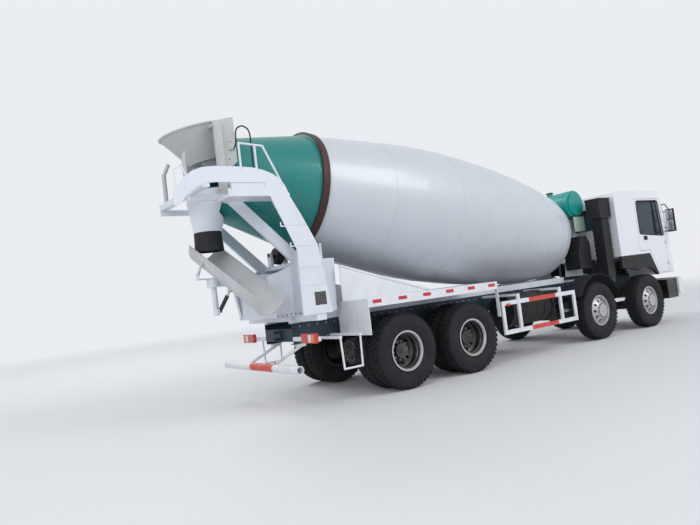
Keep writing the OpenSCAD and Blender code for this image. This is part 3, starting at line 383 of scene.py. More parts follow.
@dataclass(frozen=True)
class BandedFinish(Finish):
    """A paint with stretches of a second colour along one axis, such as the warning stripes.

    Each band is its start and end along the axis, in metres. The bands show only between the
    heights above and below. Behind cross_before the cross bands, along Y, take over.
    """

    axis: str = "X"
    band_colour: Colour = (0.5, 0.02, 0.02)
    bands: tuple[Span, ...] = ()
    below: float = 99.0
    above: float = -99.0
    cross_bands: tuple[Span, ...] = ()
    cross_before: float = -99.0

    def paint(self, sketch: Sketch) -> bpy.types.NodeSocket:
        """Mixes the band colour in where the place along the axis lies in a band."""
        place = sketch.split(sketch.place())
        inside = self._inside(sketch, place[self.axis], self.bands)
        if self.cross_bands:
            behind = sketch.math("LESS_THAN", place["X"], self.cross_before)
            crossing = self._inside(sketch, place["Y"], self.cross_bands)
            ahead = sketch.math("MULTIPLY", sketch.math("SUBTRACT", 1.0, behind), inside)
            inside = sketch.math("ADD", sketch.math("MULTIPLY", behind, crossing), ahead)
        high = sketch.math("LESS_THAN", place["Z"], self.below)
        low = sketch.math("GREATER_THAN", place["Z"], self.above)
        mask = sketch.math("MULTIPLY", inside, sketch.math("MULTIPLY", high, low))
        return sketch.blend(mask, self.colour, self.band_colour)

    @staticmethod
    def _inside(sketch: Sketch, along: bpy.types.NodeSocket,
                bands: Sequence[Span]) -> bpy.types.NodeSocket:
        """Gives 1 where a place lies in one of the bands."""
        inside = None
        for start, end in bands:
            middle = sketch.math("ABSOLUTE", sketch.math("SUBTRACT", along, (start + end) / 2))
            one = sketch.math("LESS_THAN", middle, (end - start) / 2)
            inside = one if inside is None else sketch.math("MAXIMUM", inside, one)
        return inside


@dataclass(frozen=True)
class DrumFinish(Finish):
    """The drum's paint: silver white, with the neck behind the roller ring in sea green."""

    neck_colour: Colour = (0.0, 0.2, 0.18)
    ring_place: Point = (0.0, 0.0, 0.0)
    axis: Point = (1.0, 0.0, 0.0)

    def paint(self, sketch: Sketch) -> bpy.types.NodeSocket:
        """Splits the two colours at the roller ring, across the drum's own axis."""
        moved = sketch.add("ShaderNodeVectorMath", {0: sketch.place(), 1: self.ring_place},
                           operation="SUBTRACT")
        along = sketch.add("ShaderNodeVectorMath", {0: moved.outputs[0], 1: self.axis},
                           operation="DOT_PRODUCT")
        behind = sketch.math("LESS_THAN", along.outputs["Value"], 0.0)
        return sketch.blend(behind, self.colour, self.neck_colour)


@dataclass(frozen=True)
class ClothFinish(Finish):
    """Woven seat cloth: fine crossing threads with a soft sheen, and a painted highlight on the
    raised threads.
    """

    threads: float = 1400.0
    thread_bump: float = 0.35
    thread_depth: float = 0.001
    # How much lighter the raised threads are painted: a painted highlight on the weave.
    raised_light: float = 1.5
    sheen: float = 0.3

    def paint(self, sketch: Sketch) -> bpy.types.NodeSocket:
        """Gives the cloth's colour, with a painted highlight that makes the raised threads lighter.
        """
        # Painted highlight: the raised threads take a lighter copy of the cloth's colour.
        raised = tuple(min(1.0, channel * self.raised_light) for channel in self.colour)
        return sketch.blend(self._weave(sketch), self.colour, raised)

    def _weave(self, sketch: Sketch) -> bpy.types.NodeSocket:
        """The height of the threads, from 0 to 1, from two crossing waves."""
        place = sketch.split(sketch.place())
        rise = sketch.math("ADD", place["X"], place["Z"])
        along = sketch.math("SINE", sketch.math("MULTIPLY", rise, self.threads))
        across = sketch.math("SINE", sketch.math("MULTIPLY", place["Y"], self.threads))
        both = sketch.math("MULTIPLY", along, across)
        return sketch.math("ADD", sketch.math("MULTIPLY", both, 0.5), 0.5)

    def build(self) -> bpy.types.Material:
        """Makes the finish with its weave in the bump, and its sheen."""
        material = super().build()
        sketch = Sketch(material.node_tree)
        shader = material.node_tree.nodes["Principled BSDF"]
        grain = shader.inputs["Normal"].links[0].from_socket
        bump = sketch.add("ShaderNodeBump", {
            "Strength": self.thread_bump, "Distance": self.thread_depth,
            "Height": self._weave(sketch), "Normal": grain})
        sketch.fill(shader, {"Normal": bump.outputs["Normal"], "Sheen Weight": self.sheen})
        return material


@dataclass(frozen=True)
class GlassFinish(Finish):
    """Tinted window glass."""

    dirt_scale: float = 3.0
    dirty_roughness: float = 0.4
    clearness: float = 0.85
    ior: float = 1.3

    def build(self) -> bpy.types.Material:
        """Makes a thin dark glass with a plain transmission.

        Returns:
            The new material.
        """
        material, sketch, shader = new_material(self.name)
        dirt = self._effect(sketch, SharedEffect.ROAD_DIRT, {
            "Top": self.dust_top, "Amount": self.dust, "Scale": self.dirt_scale})
        sketch.fill(shader, {
            "Roughness": sketch.mix(dirt["Mask"], self.roughness, self.dirty_roughness),
            "Base Color": self.colour, "Transmission Weight": self.clearness, "IOR": self.ior})
        return material


class Palette:
    """Every finish on the truck, each made into a material once."""

    def __init__(self) -> None:
        """Starts with no material made."""
        self._made: dict[str, bpy.types.Material] = {}

    def get(self, finish: Finish) -> bpy.types.Material:
        """Gives a finish's material.

        Args:
            finish: The finish.

        Returns:
            Its material, made on first use.
        """
        if finish.name not in self._made:
            self._made[finish.name] = finish.build()
        return self._made[finish.name]


PALETTE = Palette()

WHITE = Finish("white_paint", srgb(226, 229, 234), roughness=0.3, coat=0.35, dust=0.28,
               dust_top=1.6, streaks=0.07)
FRAME_WHITE = Finish("frame_white", srgb(219, 224, 232), roughness=0.38, coat=0.2, dust=0.3,
                     dust_top=2.2, streaks=0.14, tone=0.14)
CHASSIS_TEAL = Finish("chassis_teal", srgb(18, 44, 58), roughness=0.5, dust=0.12, dust_top=1.3)
IRON = Finish("dark_iron", srgb(44, 45, 48), roughness=0.7, metallic=0.3, dust=0.35, dust_top=1.3,
              grain=0.4, grain_scale=120.0)
RING_RUST = Finish("ring_rust", srgb(70, 48, 42), roughness=0.55, metallic=0.45, dust=0.1,
                   grain=0.3, grain_scale=60.0, tone=0.6)
GREEN = Finish("tank_green", srgb(4, 146, 138), roughness=0.4, coat=0.15, dust=0.15, dust_top=3.5)
SIGHT_GREEN = Finish("sight_panel", srgb(176, 198, 186), roughness=0.3, coat=0.3, dust=0.2,
                     dust_top=3.0)
BLACK_PLASTIC = Finish("black_plastic", srgb(14, 15, 19), roughness=0.6, dust=0.05, dust_top=1.9,
                       grain=0.35, grain_scale=420.0)
RUBBER = Finish("black_rubber", srgb(17, 19, 24), roughness=0.7, dust=0.1, grain=0.3,
                grain_scale=240.0)
TYRE = Finish("tyre_rubber", srgb(19, 21, 26), roughness=0.85, dust=0.03, dust_top=1.3, grain=0.5,
              grain_scale=180.0)
RIM = Finish("rim_silver", srgb(188, 190, 192), roughness=0.42, metallic=0.55, dust=0.5,
             dust_top=1.2)
TWIN_RIM = BandedFinish("rim_twin", srgb(196, 198, 200), roughness=0.42, metallic=0.55, dust=0.4,
                        dust_top=1.2, axis="Y", band_colour=srgb(58, 60, 64),
                        bands=((-1.168, 1.168),))
STEEL = Finish("bright_steel", srgb(196, 198, 200), roughness=0.28, metallic=0.9, dust=0.15)
ZINC = Finish("zinc_bolts", srgb(150, 150, 146), roughness=0.45, metallic=0.8, dust=0.3)
CONCRETE_STEEL = Finish("worn_chute_steel", srgb(196, 199, 202), roughness=0.6, metallic=0.1,
                        dust=0.3, dust_top=4.4, streaks=0.5, grain=0.45, grain_scale=70.0,
                        tone=0.35)
HOPPER_GREY = Finish("hopper_grey", srgb(190, 193, 194), roughness=0.55, dust=0.25, dust_top=5.0,
                     streaks=0.3, grain=0.3, grain_scale=60.0, tone=0.3)
LAMP_RED = Finish("lamp_red", srgb(190, 26, 18), roughness=0.15, coat=0.6, dust=0.2)
LAMP_AMBER = Finish("lamp_amber", srgb(222, 110, 16), roughness=0.15, coat=0.6, dust=0.2)
LAMP_CLEAR = Finish("lamp_clear", srgb(214, 218, 222), roughness=0.08, coat=0.8, dust=0.1)
CLOTH = ClothFinish("seat_cloth", srgb(70, 74, 82), roughness=0.9, dust=0.0, grain=0.4,
                    grain_scale=500.0)
PIPING = Finish("seat_piping", srgb(34, 36, 41), roughness=0.7, dust=0.0, grain=0.3,
                grain_scale=600.0)
GEAR_BLUE = Finish("gearbox_blue", srgb(48, 76, 88), roughness=0.5, dust=0.3, dust_top=2.5)
GLASS = GlassFinish("window_glass", srgb(98, 120, 128), roughness=0.04, dust=0.25, dust_top=3.2)


BOX_FACES = ((0, 1, 3, 2), (4, 6, 7, 5), (0, 4, 5, 1), (2, 3, 7, 6), (0, 2, 6, 4), (1, 5, 7, 3))
BEVELLED_ANGLE = math.radians(40)
LEAST_MITRE = 0.5
ON_THE_AXIS = 1e-6
LONGEST_CUT = 0.49
HEXAGON = 6


class MeshMaker:
    """Gathers plain shapes into one mesh, with its place in its points."""

    def __init__(self, name: str) -> None:
        """Starts an empty mesh under a piece's name."""
        self.name = name
        self.bm = bmesh.new()
        self.slot = 0

    def add(self, points: Iterable[Sequence[float]], faces: Iterable[Sequence[int]],
            place: Matrix | None = None) -> None:
        """Adds points and faces.

        Args:
            points: The corner points.
            faces: The corners of each face, by number.
            place: Where the shape goes.
        """
        matrix = place or Matrix.Identity(4)
        verts = [self.bm.verts.new(matrix @ Vector(p)) for p in points]
        for corners in faces:
            face = self.bm.faces.new([verts[i] for i in corners])
            face.material_index = self.slot

    def box(self, xs: Span, ys: Span, zs: Span) -> None:
        """Adds a box between its lowest and highest X, Y and Z."""
        self.add([(x, y, z) for x in xs for y in ys for z in zs], BOX_FACES)

    def lathe(self, profile: Section, place: Matrix | None = None, segments: int = 32,
              closed: bool = False) -> None:
        """Turns a profile round the Z axis of a place.

        Args:
            profile: Points (radius, height) from one end to the other.
            place: Where the shape goes: its Z is the turning axis.
            segments: Steps round the circle.
            closed: True if the profile's last point joins its first, as on a ring.
        """
        points: list[Point] = []
        rows: list[list[int]] = []
        for radius, height in profile:
            if radius < ON_THE_AXIS:
                rows.append([len(points)] * segments)
                points.append((0.0, 0.0, height))
                continue
            rows.append(list(range(len(points), len(points) + segments)))
            for step in range(segments):
                angle = 2 * math.pi * step / segments
                points.append((radius * math.cos(angle), radius * math.sin(angle), height))
        pairs = list(zip(rows, rows[1:])) + ([(rows[-1], rows[0])] if closed else [])
        faces = []
        for low, high in pairs:
            for step in range(segments):
                after = (step + 1) % segments
                corners = list(dict.fromkeys([low[step], low[after], high[after], high[step]]))
                if len(corners) > 2:
                    faces.append(corners)
        self.add(points, faces, place)

    def tube(self, points: Sequence[Sequence[float]], radius: float, sides: int = 8) -> None:
        """Adds a round bar along a path, with flat ends.

        Args:
            points: The path's points.
            radius: The bar's radius.
            sides: Faces round the bar.
        """
        path = [Vector(p) for p in points]
        last = len(path) - 1
        rings: list[list[bmesh.types.BMVert]] = []
        side = None
        for i, here in enumerate(path):
            before = (here - path[i - 1]).normalized() if i else (path[1] - here).normalized()
            after = (path[i + 1] - here).normalized() if i < last else before
            ahead = (before + after).normalized()
            if side is None:
                side = ahead.orthogonal().normalized()
            side = (side - ahead * side.dot(ahead)).normalized()
            other = ahead.cross(side)
            stretch = 1.0 / max(LEAST_MITRE, before.dot(ahead)) if 0 < i < last else 1.0
            ring = []
            for k in range(sides):
                angle = 2 * math.pi * k / sides
                offset = side * math.cos(angle) + other * math.sin(angle)
                ring.append(self.bm.verts.new(here + offset * radius * stretch))
            rings.append(ring)
        for low, high in zip(rings, rings[1:]):
            for k in range(sides):
                after_k = (k + 1) % sides
                face = self.bm.faces.new((low[k], low[after_k], high[after_k], high[k]))
                face.material_index = self.slot
        for ring in (list(reversed(rings[0])), rings[-1]):
            self.bm.faces.new(ring).material_index = self.slot

    def take(self, mesh: bpy.types.Mesh) -> None:
        """Adds a finished mesh, which is used up."""
        self.bm.from_mesh(mesh)
        bpy.data.meshes.remove(mesh)

    def mesh(self, bevel: float = 0.0, outward: bool = True) -> bpy.types.Mesh:
        """Gives the shape as a plain mesh, and lets the working copy go.

        Args:
            bevel: Width of the rounded edges, or 0.
            outward: True if the faces are to be turned outward, as on a closed shape.

        Returns:
            The mesh.
        """
        if outward:
            bmesh.ops.recalc_face_normals(self.bm, faces=self.bm.faces)
        if bevel > 0:
            edges = [edge for edge in self.bm.edges
                     if len(edge.link_faces) == 2 and edge.calc_face_angle(0) > BEVELLED_ANGLE]
            bmesh.ops.bevel(self.bm, geom=edges, offset=bevel, segments=2, profile=0.6,
                            affect="EDGES", clamp_overlap=True)
        mesh = bpy.data.meshes.new(self.name)
        self.bm.to_mesh(mesh)
        self.bm.free()
        return mesh

    def build(self, finishes: Finish | Sequence[Finish], body: str, bevel: float = 0.0,
              smooth: float = 40.0, slot: str | None = None) -> bpy.types.Object:
        """Makes the shape into a piece that rides on a body.

        Args:
            finishes: The finish, or one for each slot that was used.
            body: The body that carries the piece.
            bevel: Width of the rounded edges, or 0.
            smooth: Edges flatter than this many degrees are shaded smooth.
            slot: The record's material slot; not used.

        Returns:
            The new object.
        """
        mesh = self.mesh(bevel)
        obj = add_object(self.name, mesh)
        for finish in ([finishes] if isinstance(finishes, Finish) else finishes):
            mesh.materials.append(PALETTE.get(finish))
        shade(obj, smooth)
        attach(obj, body)
        LOG.info("piece %s on %s: %d faces", self.name, body, len(mesh.polygons))
        return obj


def add_object(name: str, data: bpy.types.ID) -> bpy.types.Object:
    """Makes an object from its data and puts it into the scene."""
    obj = bpy.data.objects.new(name, data)
    bpy.context.scene.collection.objects.link(obj)
    return obj


def shade(obj: bpy.types.Object, angle: float) -> None:
    """Shades a mesh smooth, apart from edges sharper than an angle in degrees."""
    mesh = obj.data
    mesh.polygons.foreach_set("use_smooth", [True] * len(mesh.polygons))
    mesh.set_sharp_from_angle(angle=math.radians(angle))


def shifted(box: Box, start: Sequence[float]) -> Box:
    """Gives the place on the truck of a box that is measured from a point."""
    xs, ys, zs = ((low + shift, high + shift) for (low, high), shift in zip(box, start))
    return (xs, ys, zs)


def box_piece(name: str, boxes: Iterable[Box], finish: Finish, body: str,
              bevel: float) -> bpy.types.Object:
    """Makes a piece of plain boxes with rounded edges."""
    maker = MeshMaker(name)
    for xs, ys, zs in boxes:
        maker.box(xs, ys, zs)
    return maker.build(finish, body, bevel=bevel)


def axis_place(origin: Sequence[float], axis: Sequence[float]) -> Matrix:
    """A place whose Z looks along an axis.

    Args:
        origin: Where the place lies.
        axis: The direction of its Z.

    Returns:
        The 4 by 4 matrix.
    """
    turn = Vector(axis).to_track_quat("Z", "Y").to_matrix().to_4x4()
    return Matrix.Translation(Vector(origin)) @ turn


def flowing(points: Sequence[Sequence[float]], steps: int = 2) -> list[Vector]:
    """Runs one smooth curve through a path's points.

    Args:
        points: The points it passes.
        steps: Points on each stretch.

    Returns:
        The curve's points.
    """
    knots = [Vector(p) for p in points]
    knots = [knots[0] * 2 - knots[1], *knots, knots[-1] * 2 - knots[-2]]
    curve: list[Vector] = []
    for a, b, c, d in zip(knots, knots[1:], knots[2:], knots[3:]):
        for step in range(steps):
            t = step / steps
            curve.append((b * 2 + (c - a) * t + (a * 2 - b * 5 + c * 4 - d) * t ** 2
                          + (b * 3 - a - c * 3 + d) * t ** 3) / 2)
    curve.append(knots[-2])
    return curve


def rounded(points: Sequence[Sequence[float]], radius: float, steps: int = 5) -> list[Vector]:
    """Rounds the bends of a path.

    Args:
        points: The path's corner points.
        radius: How far before and after a corner its bend starts.
        steps: Points in each bend.

    Returns:
        The path with curved bends.
    """
    corners = [Vector(p) for p in points]
    path = [corners[0]]
    for before, here, after in zip(corners, corners[1:], corners[2:]):
        shorter = min((before - here).length, (after - here).length)
        cut = min(radius, shorter * LONGEST_CUT)
        start = here + (before - here).normalized() * cut
        end = here + (after - here).normalized() * cut
        for step in range(steps + 1):
            t = step / steps
            path.append(start * (1 - t) ** 2 + here * 2 * t * (1 - t) + end * t ** 2)
    path.append(corners[-1])
    return path


class RepeatTree:
    """Geometry Nodes trees that repeat an item, built once each and baked to plain meshes."""

    def __init__(self) -> None:
        """Builds both trees."""
        self._ring = self._ring_tree()
        self._row = self._row_tree()

    @staticmethod
    def _start(name: str, inputs: dict[str, str]) -> tuple[Sketch, Any]:
        """Starts a geometry tree that takes an item and gives one geometry.

        Args:
            name: The tree's name.
            inputs: Names of its other inputs to their types.

        Returns:
            A sketch of the tree, and what its inputs give.
        """
        tree = bpy.data.node_groups.new(name, "GeometryNodeTree")
        sockets = {"Geometry": "Geometry", **inputs, "Item": "Object"}
        for label, kind in sockets.items():
            tree.interface.new_socket(label, in_out="INPUT", socket_type=f"NodeSocket{kind}")
        tree.interface.new_socket("Geometry", in_out="OUTPUT", socket_type="NodeSocketGeometry")
        sketch = Sketch(tree)
        return sketch, sketch.add("NodeGroupInput").outputs

    @staticmethod
    def _end(sketch: Sketch, item: bpy.types.NodeSocket, dots: bpy.types.NodeSocket,
             turns: dict[str, bpy.types.NodeSocket]) -> bpy.types.NodeTree:
        """Puts the item on the dots, makes the copies real and ends the tree."""
        shape = sketch.add("GeometryNodeObjectInfo", {"Object": item}).outputs["Geometry"]
        spread = sketch.add("GeometryNodeInstanceOnPoints", {
            "Points": dots, "Instance": shape, **turns})
        real = sketch.add("GeometryNodeRealizeInstances", {"Geometry": spread.outputs[0]})
        sketch.add("NodeGroupOutput", {"Geometry": real.outputs[0]})
        return sketch.tree

    def _ring_tree(self) -> bpy.types.NodeTree:
        """Items round a circle about the Z axis, each turned with its place."""
        sketch, given = self._start("items_round_a_circle", {
            "Count": "Int", "Radius": "Float", "Phase": "Float", "Height": "Float"})
        dots = sketch.add("GeometryNodeMeshLine", {"Count": given["Count"],
                                                   "Offset": (0.0, 0.0, 0.0)})
        share = sketch.math("DIVIDE", sketch.add("GeometryNodeInputIndex").outputs[0],
                            given["Count"])
        angle = sketch.math("ADD", sketch.math("MULTIPLY", share, 2 * math.pi), given["Phase"])
        x = sketch.math("MULTIPLY", sketch.math("COSINE", angle), given["Radius"])
        y = sketch.math("MULTIPLY", sketch.math("SINE", angle), given["Radius"])
        spot = sketch.add("ShaderNodeCombineXYZ", {0: x, 1: y, 2: given["Height"]})
        placed = sketch.add("GeometryNodeSetPosition", {"Geometry": dots.outputs[0],
                                                        "Position": spot.outputs[0]})
        turn = sketch.add("ShaderNodeCombineXYZ", {2: angle})
        return self._end(sketch, given["Item"], placed.outputs[0], {"Rotation": turn.outputs[0]})

    def _row_tree(self) -> bpy.types.NodeTree:
        """Items in a straight row, a step apart."""
        sketch, given = self._start("items_in_a_row", {"Count": "Int", "Step": "Vector"})
        dots = sketch.add("GeometryNodeMeshLine", {"Count": given["Count"],
                                                   "Offset": given["Step"]})
        return self._end(sketch, given["Item"], dots.outputs[0], {})

    def ring(self, piece: MeshMaker, item: MeshMaker, count: int, radius: float, place: Matrix,
             phase: float = 0.0, height: float = 0.0) -> None:
        """Repeats an item round a circle.

        Args:
            piece: What the copies are added to.
            item: The shape, drawn about its own origin.
            count: How many there are.
            radius: The circle's radius.
            place: Where the circle goes: its Z is the circle's axis.
            phase: The angle of the first one.
            height: How far along the axis they stand.
        """
        self._spread(self._ring, piece, item, place, Count=count, Radius=radius, Phase=phase,
                     Height=height)

    def row(self, piece: MeshMaker, item: MeshMaker, count: int, step: Point,
            start: Point) -> None:
        """Repeats an item along a straight row.

        Args:
            piece: What the copies are added to.
            item: The shape, drawn about its own origin.
            count: How many there are.
            step: The way from one to the next.
            start: Where the first one goes.
        """
        self._spread(self._row, piece, item, Matrix.Translation(start), Count=count, Step=step)

    @staticmethod
    def _spread(tree: bpy.types.NodeTree, piece: MeshMaker, item: MeshMaker, place: Matrix,
                **values: Any) -> None:
        """Runs a tree on an item, with values for its inputs, and bakes it into a piece."""
        source = add_object(item.name + "_item", item.mesh())
        carrier = add_object(item.name + "_carrier", bpy.data.meshes.new("carrier"))
        modifier = carrier.modifiers.new("repeat", "NODES")
        modifier.node_group = tree
        named = {s.name: s.identifier for s in tree.interface.items_tree if s.in_out == "INPUT"}
        for label, value in {**values, "Item": source}.items():
            modifier[named[label]] = value
        bpy.context.view_layer.update()
        graph = bpy.context.evaluated_depsgraph_get()
        mesh = bpy.data.meshes.new_from_object(carrier.evaluated_get(graph))
        mesh.transform(place)
        bpy.data.objects.remove(carrier)
        bpy.data.objects.remove(source)
        piece.take(mesh)


REPEAT = RepeatTree()


@dataclass(frozen=True)
class BoltHead:
    """A six-sided head or nut: its outline from the seat up, as radius and height."""

    section: Section
    crown: float = 0.0

    def shape(self, place: Matrix | None = None) -> MeshMaker:
        """Draws one that stands along Z, or along the Z of a place."""
        maker = MeshMaker("bolt_head")
        top = self.section[-1][1] + self.crown
        maker.lathe([(0.0, 0.0), *self.section, (0.0, top)], place, HEXAGON)
        return maker


WHEEL_NUT = BoltHead(((0.019, 0.0), (0.019, 0.022), (0.012, 0.025), (0.012, 0.038)))
ROLLER_BOLT = BoltHead(((0.011, 0.0), (0.011, 0.008)))
COVER_BOLT = BoltHead(((0.013, 0.0), (0.013, 0.011)))
RAIL_BOLT = BoltHead(((0.015, 0.0), (0.015, 0.002), (0.011, 0.002), (0.011, 0.011)), 0.001)
PLATE_BOLT = BoltHead(((0.014, 0.0), (0.014, 0.002), (0.010, 0.002), (0.010, 0.010)), 0.001)


@dataclass(frozen=True)
class BoltRow:
    """A straight row of bolt heads on an upright face, given for the left side."""

    start: Point
    count: int
    step: Point


def bolt_rows(name: str, head: BoltHead, rows: Sequence[BoltRow]) -> None:
    """Makes a piece of bolt rows on the chassis, the same on both sides.

    Args:
        name: The piece's name.
        head: The head of each bolt.
        rows: The rows of the left side.
    """
    piece = MeshMaker(name)
    for side in Side:
        for row in rows:
            item = head.shape(axis_place((0, 0, 0), (0, side.value, 0)))
            REPEAT.row(piece, item, row.count, row.step, side.put(row.start))
    piece.build(ZINC, "chassis")


@dataclass
class Frame:
    """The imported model, with short ways to read sizes from it."""

    nodes: dict[str, bpy.types.Object]
    joints: dict[str, dict[str, Any]]

    @classmethod
    def from_kit(cls, loaded: dict[str, Any]) -> Frame:
        return cls(loaded["nodes"], {joint["name"]: joint for joint in loaded["joints"]})

    def ends(self, node: str) -> tuple[Vector, Vector]:
        """The lowest and the highest corner of a node."""
        low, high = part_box(node)
        return Vector(low), Vector(high)

    def centre(self, node: str) -> Vector:
        """The middle of a node's box."""
        low, high = self.ends(node)
        return (low + high) / 2

    def pivot(self, joint: str) -> Vector:
        """A joint's place."""
        return Vector(self.joints[joint]["pos_m"])

    def axis(self, joint: str) -> Vector:
        """A joint's axis."""
        return Vector(self.joints[joint]["axis"]).normalized()

    def dress(self, finish: Finish, *names: str) -> None:
        """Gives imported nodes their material.

        Args:
            finish: The finish.
            *names: The nodes that take it.
        """
        for name in names:
            node = self.nodes[name]
            for slot in node.material_slots:
                slot.material = PALETTE.get(finish)
            if not node.material_slots:
                node.data.materials.append(PALETTE.get(finish))


class Assembly(ABC):
    """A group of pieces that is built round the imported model."""

    @abstractmethod
    def build(self, frame: Frame) -> None:
        """Dresses the group's nodes and adds its pieces.

        Args:
            frame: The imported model.
        """


@dataclass(frozen=True)
class LugRow:
    """One row of tread blocks, in shares of the tyre's width and of the blocks' pitch."""

    away: float
    length: float
    breadth: float
    phase: float
    sign: int
    shoulder: bool = False


@dataclass
class Wheel(Assembly):
    """One wheel position: a single steered wheel or a pair of twins on one hub.

    The tyre's section runs from the tread to the bead. A crown point is a depth below the tread
    and a share of the width, a sidewall point is a depth and an inset from the tyre's side, and a
    bead point is a height above the rim and an inset.
    """

    number: int
    side: Side
    twin: bool
    segments: int = 96
    rim_radius: float = 0.292
    crown: Section = ((0.02, 0.30), (0.026, 0.40), (0.055, 0.455))
    sidewall: Section = ((0.10, 0.004), (0.155, 0.0), (0.165, 0.003), (0.20, 0.008))
    bead: Section = ((0.035, 0.022), (0.028, 0.016), (0.014, 0.018), (0.001, 0.03))
    lug_rows: tuple[LugRow, ...] = (
        LugRow(0.37, 0.15, 0.62, 0.0, 1, True), LugRow(0.37, 0.15, 0.62, 0.5, -1, True),
        LugRow(0.12, 0.17, 0.7, 0.3, 1), LugRow(0.12, 0.17, 0.7, 0.8, -1))
    lug_count: int = 44
    lug_depth: float = 0.024
    lug_sink: float = 0.001
    lug_taper: float = 0.9
    lug_slant: float = 0.35
    shoulder_sink: float = 0.004
    shoulder_slope: float = 0.012
    nut_count: int = 10
    nut_circle: float = 0.135
    nut_phase: float = 0.1
    nut_sink: float = 0.004
    dish: float = 0.032
    twin_dish: float = 0.195

    def _name(self, what: str) -> str:
        """A name with this wheel's number and side, such as tyre_1_left."""
        return f"{what}_{self.number}_{self.side.word}"

    def build(self, frame: Frame) -> None:
        """Builds the treaded tyres and the wheel nuts."""
        body, tyre = self._name("wheel"), self._name("tyre")
        low, high = frame.ends(tyre)
        centre = (low + high) / 2
        radius = (high.z - low.z) / 2
        single_low, single_high = frame.ends("tyre_1_left") if self.twin else (low, high)
        width = single_high.y - single_low.y
        middles = [low.y + width / 2, high.y - width / 2] if self.twin else [centre.y]
        carcass, tread = MeshMaker(self._name("tyre_carcass")), MeshMaker(self._name("tyre_tread"))
        for middle in middles:
            place = axis_place((centre.x, middle, centre.z), (0, 1, 0))
            carcass.lathe(self._profile(radius, width), place, self.segments, closed=True)
            for row in self.lug_rows:
                self._lugs(tread, row, radius, width, place)
        for maker in (carcass, tread):
            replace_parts(maker.build(TYRE, body, slot="tyre_rubber"), tyre)
        frame.dress(TWIN_RIM if self.twin else RIM, self._name("rim"))
        self._nuts(frame, centre)

    def _profile(self, radius: float, width: float) -> list[tuple[float, float]]:
        """The tyre's section: down one side from the tread to the bead, and up the other."""
        half = width / 2
        side = [(radius - depth, share * width) for depth, share in self.crown]
        side += [(radius - depth, half - inset) for depth, inset in self.sidewall]
        side += [(self.rim_radius + height, half - inset) for height, inset in self.bead]
        return side + [(r, -h) for r, h in reversed(side)]

    def _lugs(self, tread: MeshMaker, row: LugRow, radius: float, width: float,
              place: Matrix) -> None:
        """One row of slanted blocks round the tread, which slope down at the tyre's shoulder."""
        item = MeshMaker("lug")
        pitch = 2 * math.pi / self.lug_count
        half_y = row.length * width / 2
        half_t = row.breadth * pitch * radius / 2
        top = -self.shoulder_sink if row.shoulder else 0.0
        item.box((-self.lug_depth, top), (-half_t, half_t), (-half_y, half_y))
        for vert in item.bm.verts:
            if vert.co.x > -self.lug_depth / 2:
                vert.co.y *= self.lug_taper
                if row.shoulder and vert.co.z * row.sign > 0:
                    vert.co.x -= self.shoulder_slope
            vert.co.y += vert.co.z * self.lug_slant * row.sign
        REPEAT.ring(tread, item, self.lug_count, radius - self.lug_sink, place,
                    row.phase * pitch, row.sign * row.away * width)

    def _nuts(self, frame: Frame, centre: Vector) -> None:
        """The ring of wheel nuts and their studs on the outer side."""
        low, high = frame.ends(self._name("rim"))
        outer = high.y if self.side is Side.LEFT else low.y
        face = outer - self.side.value * (self.twin_dish if self.twin else self.dish)
        place = axis_place((centre.x, face, centre.z), (0, self.side.value, 0))
        nuts = MeshMaker(self._name("wheel_nuts"))
        REPEAT.ring(nuts, WHEEL_NUT.shape(), self.nut_count, self.nut_circle, place,
                    self.nut_phase, -self.nut_sink)
        nuts.build(ZINC, self._name("wheel"), slot="rim_steel")


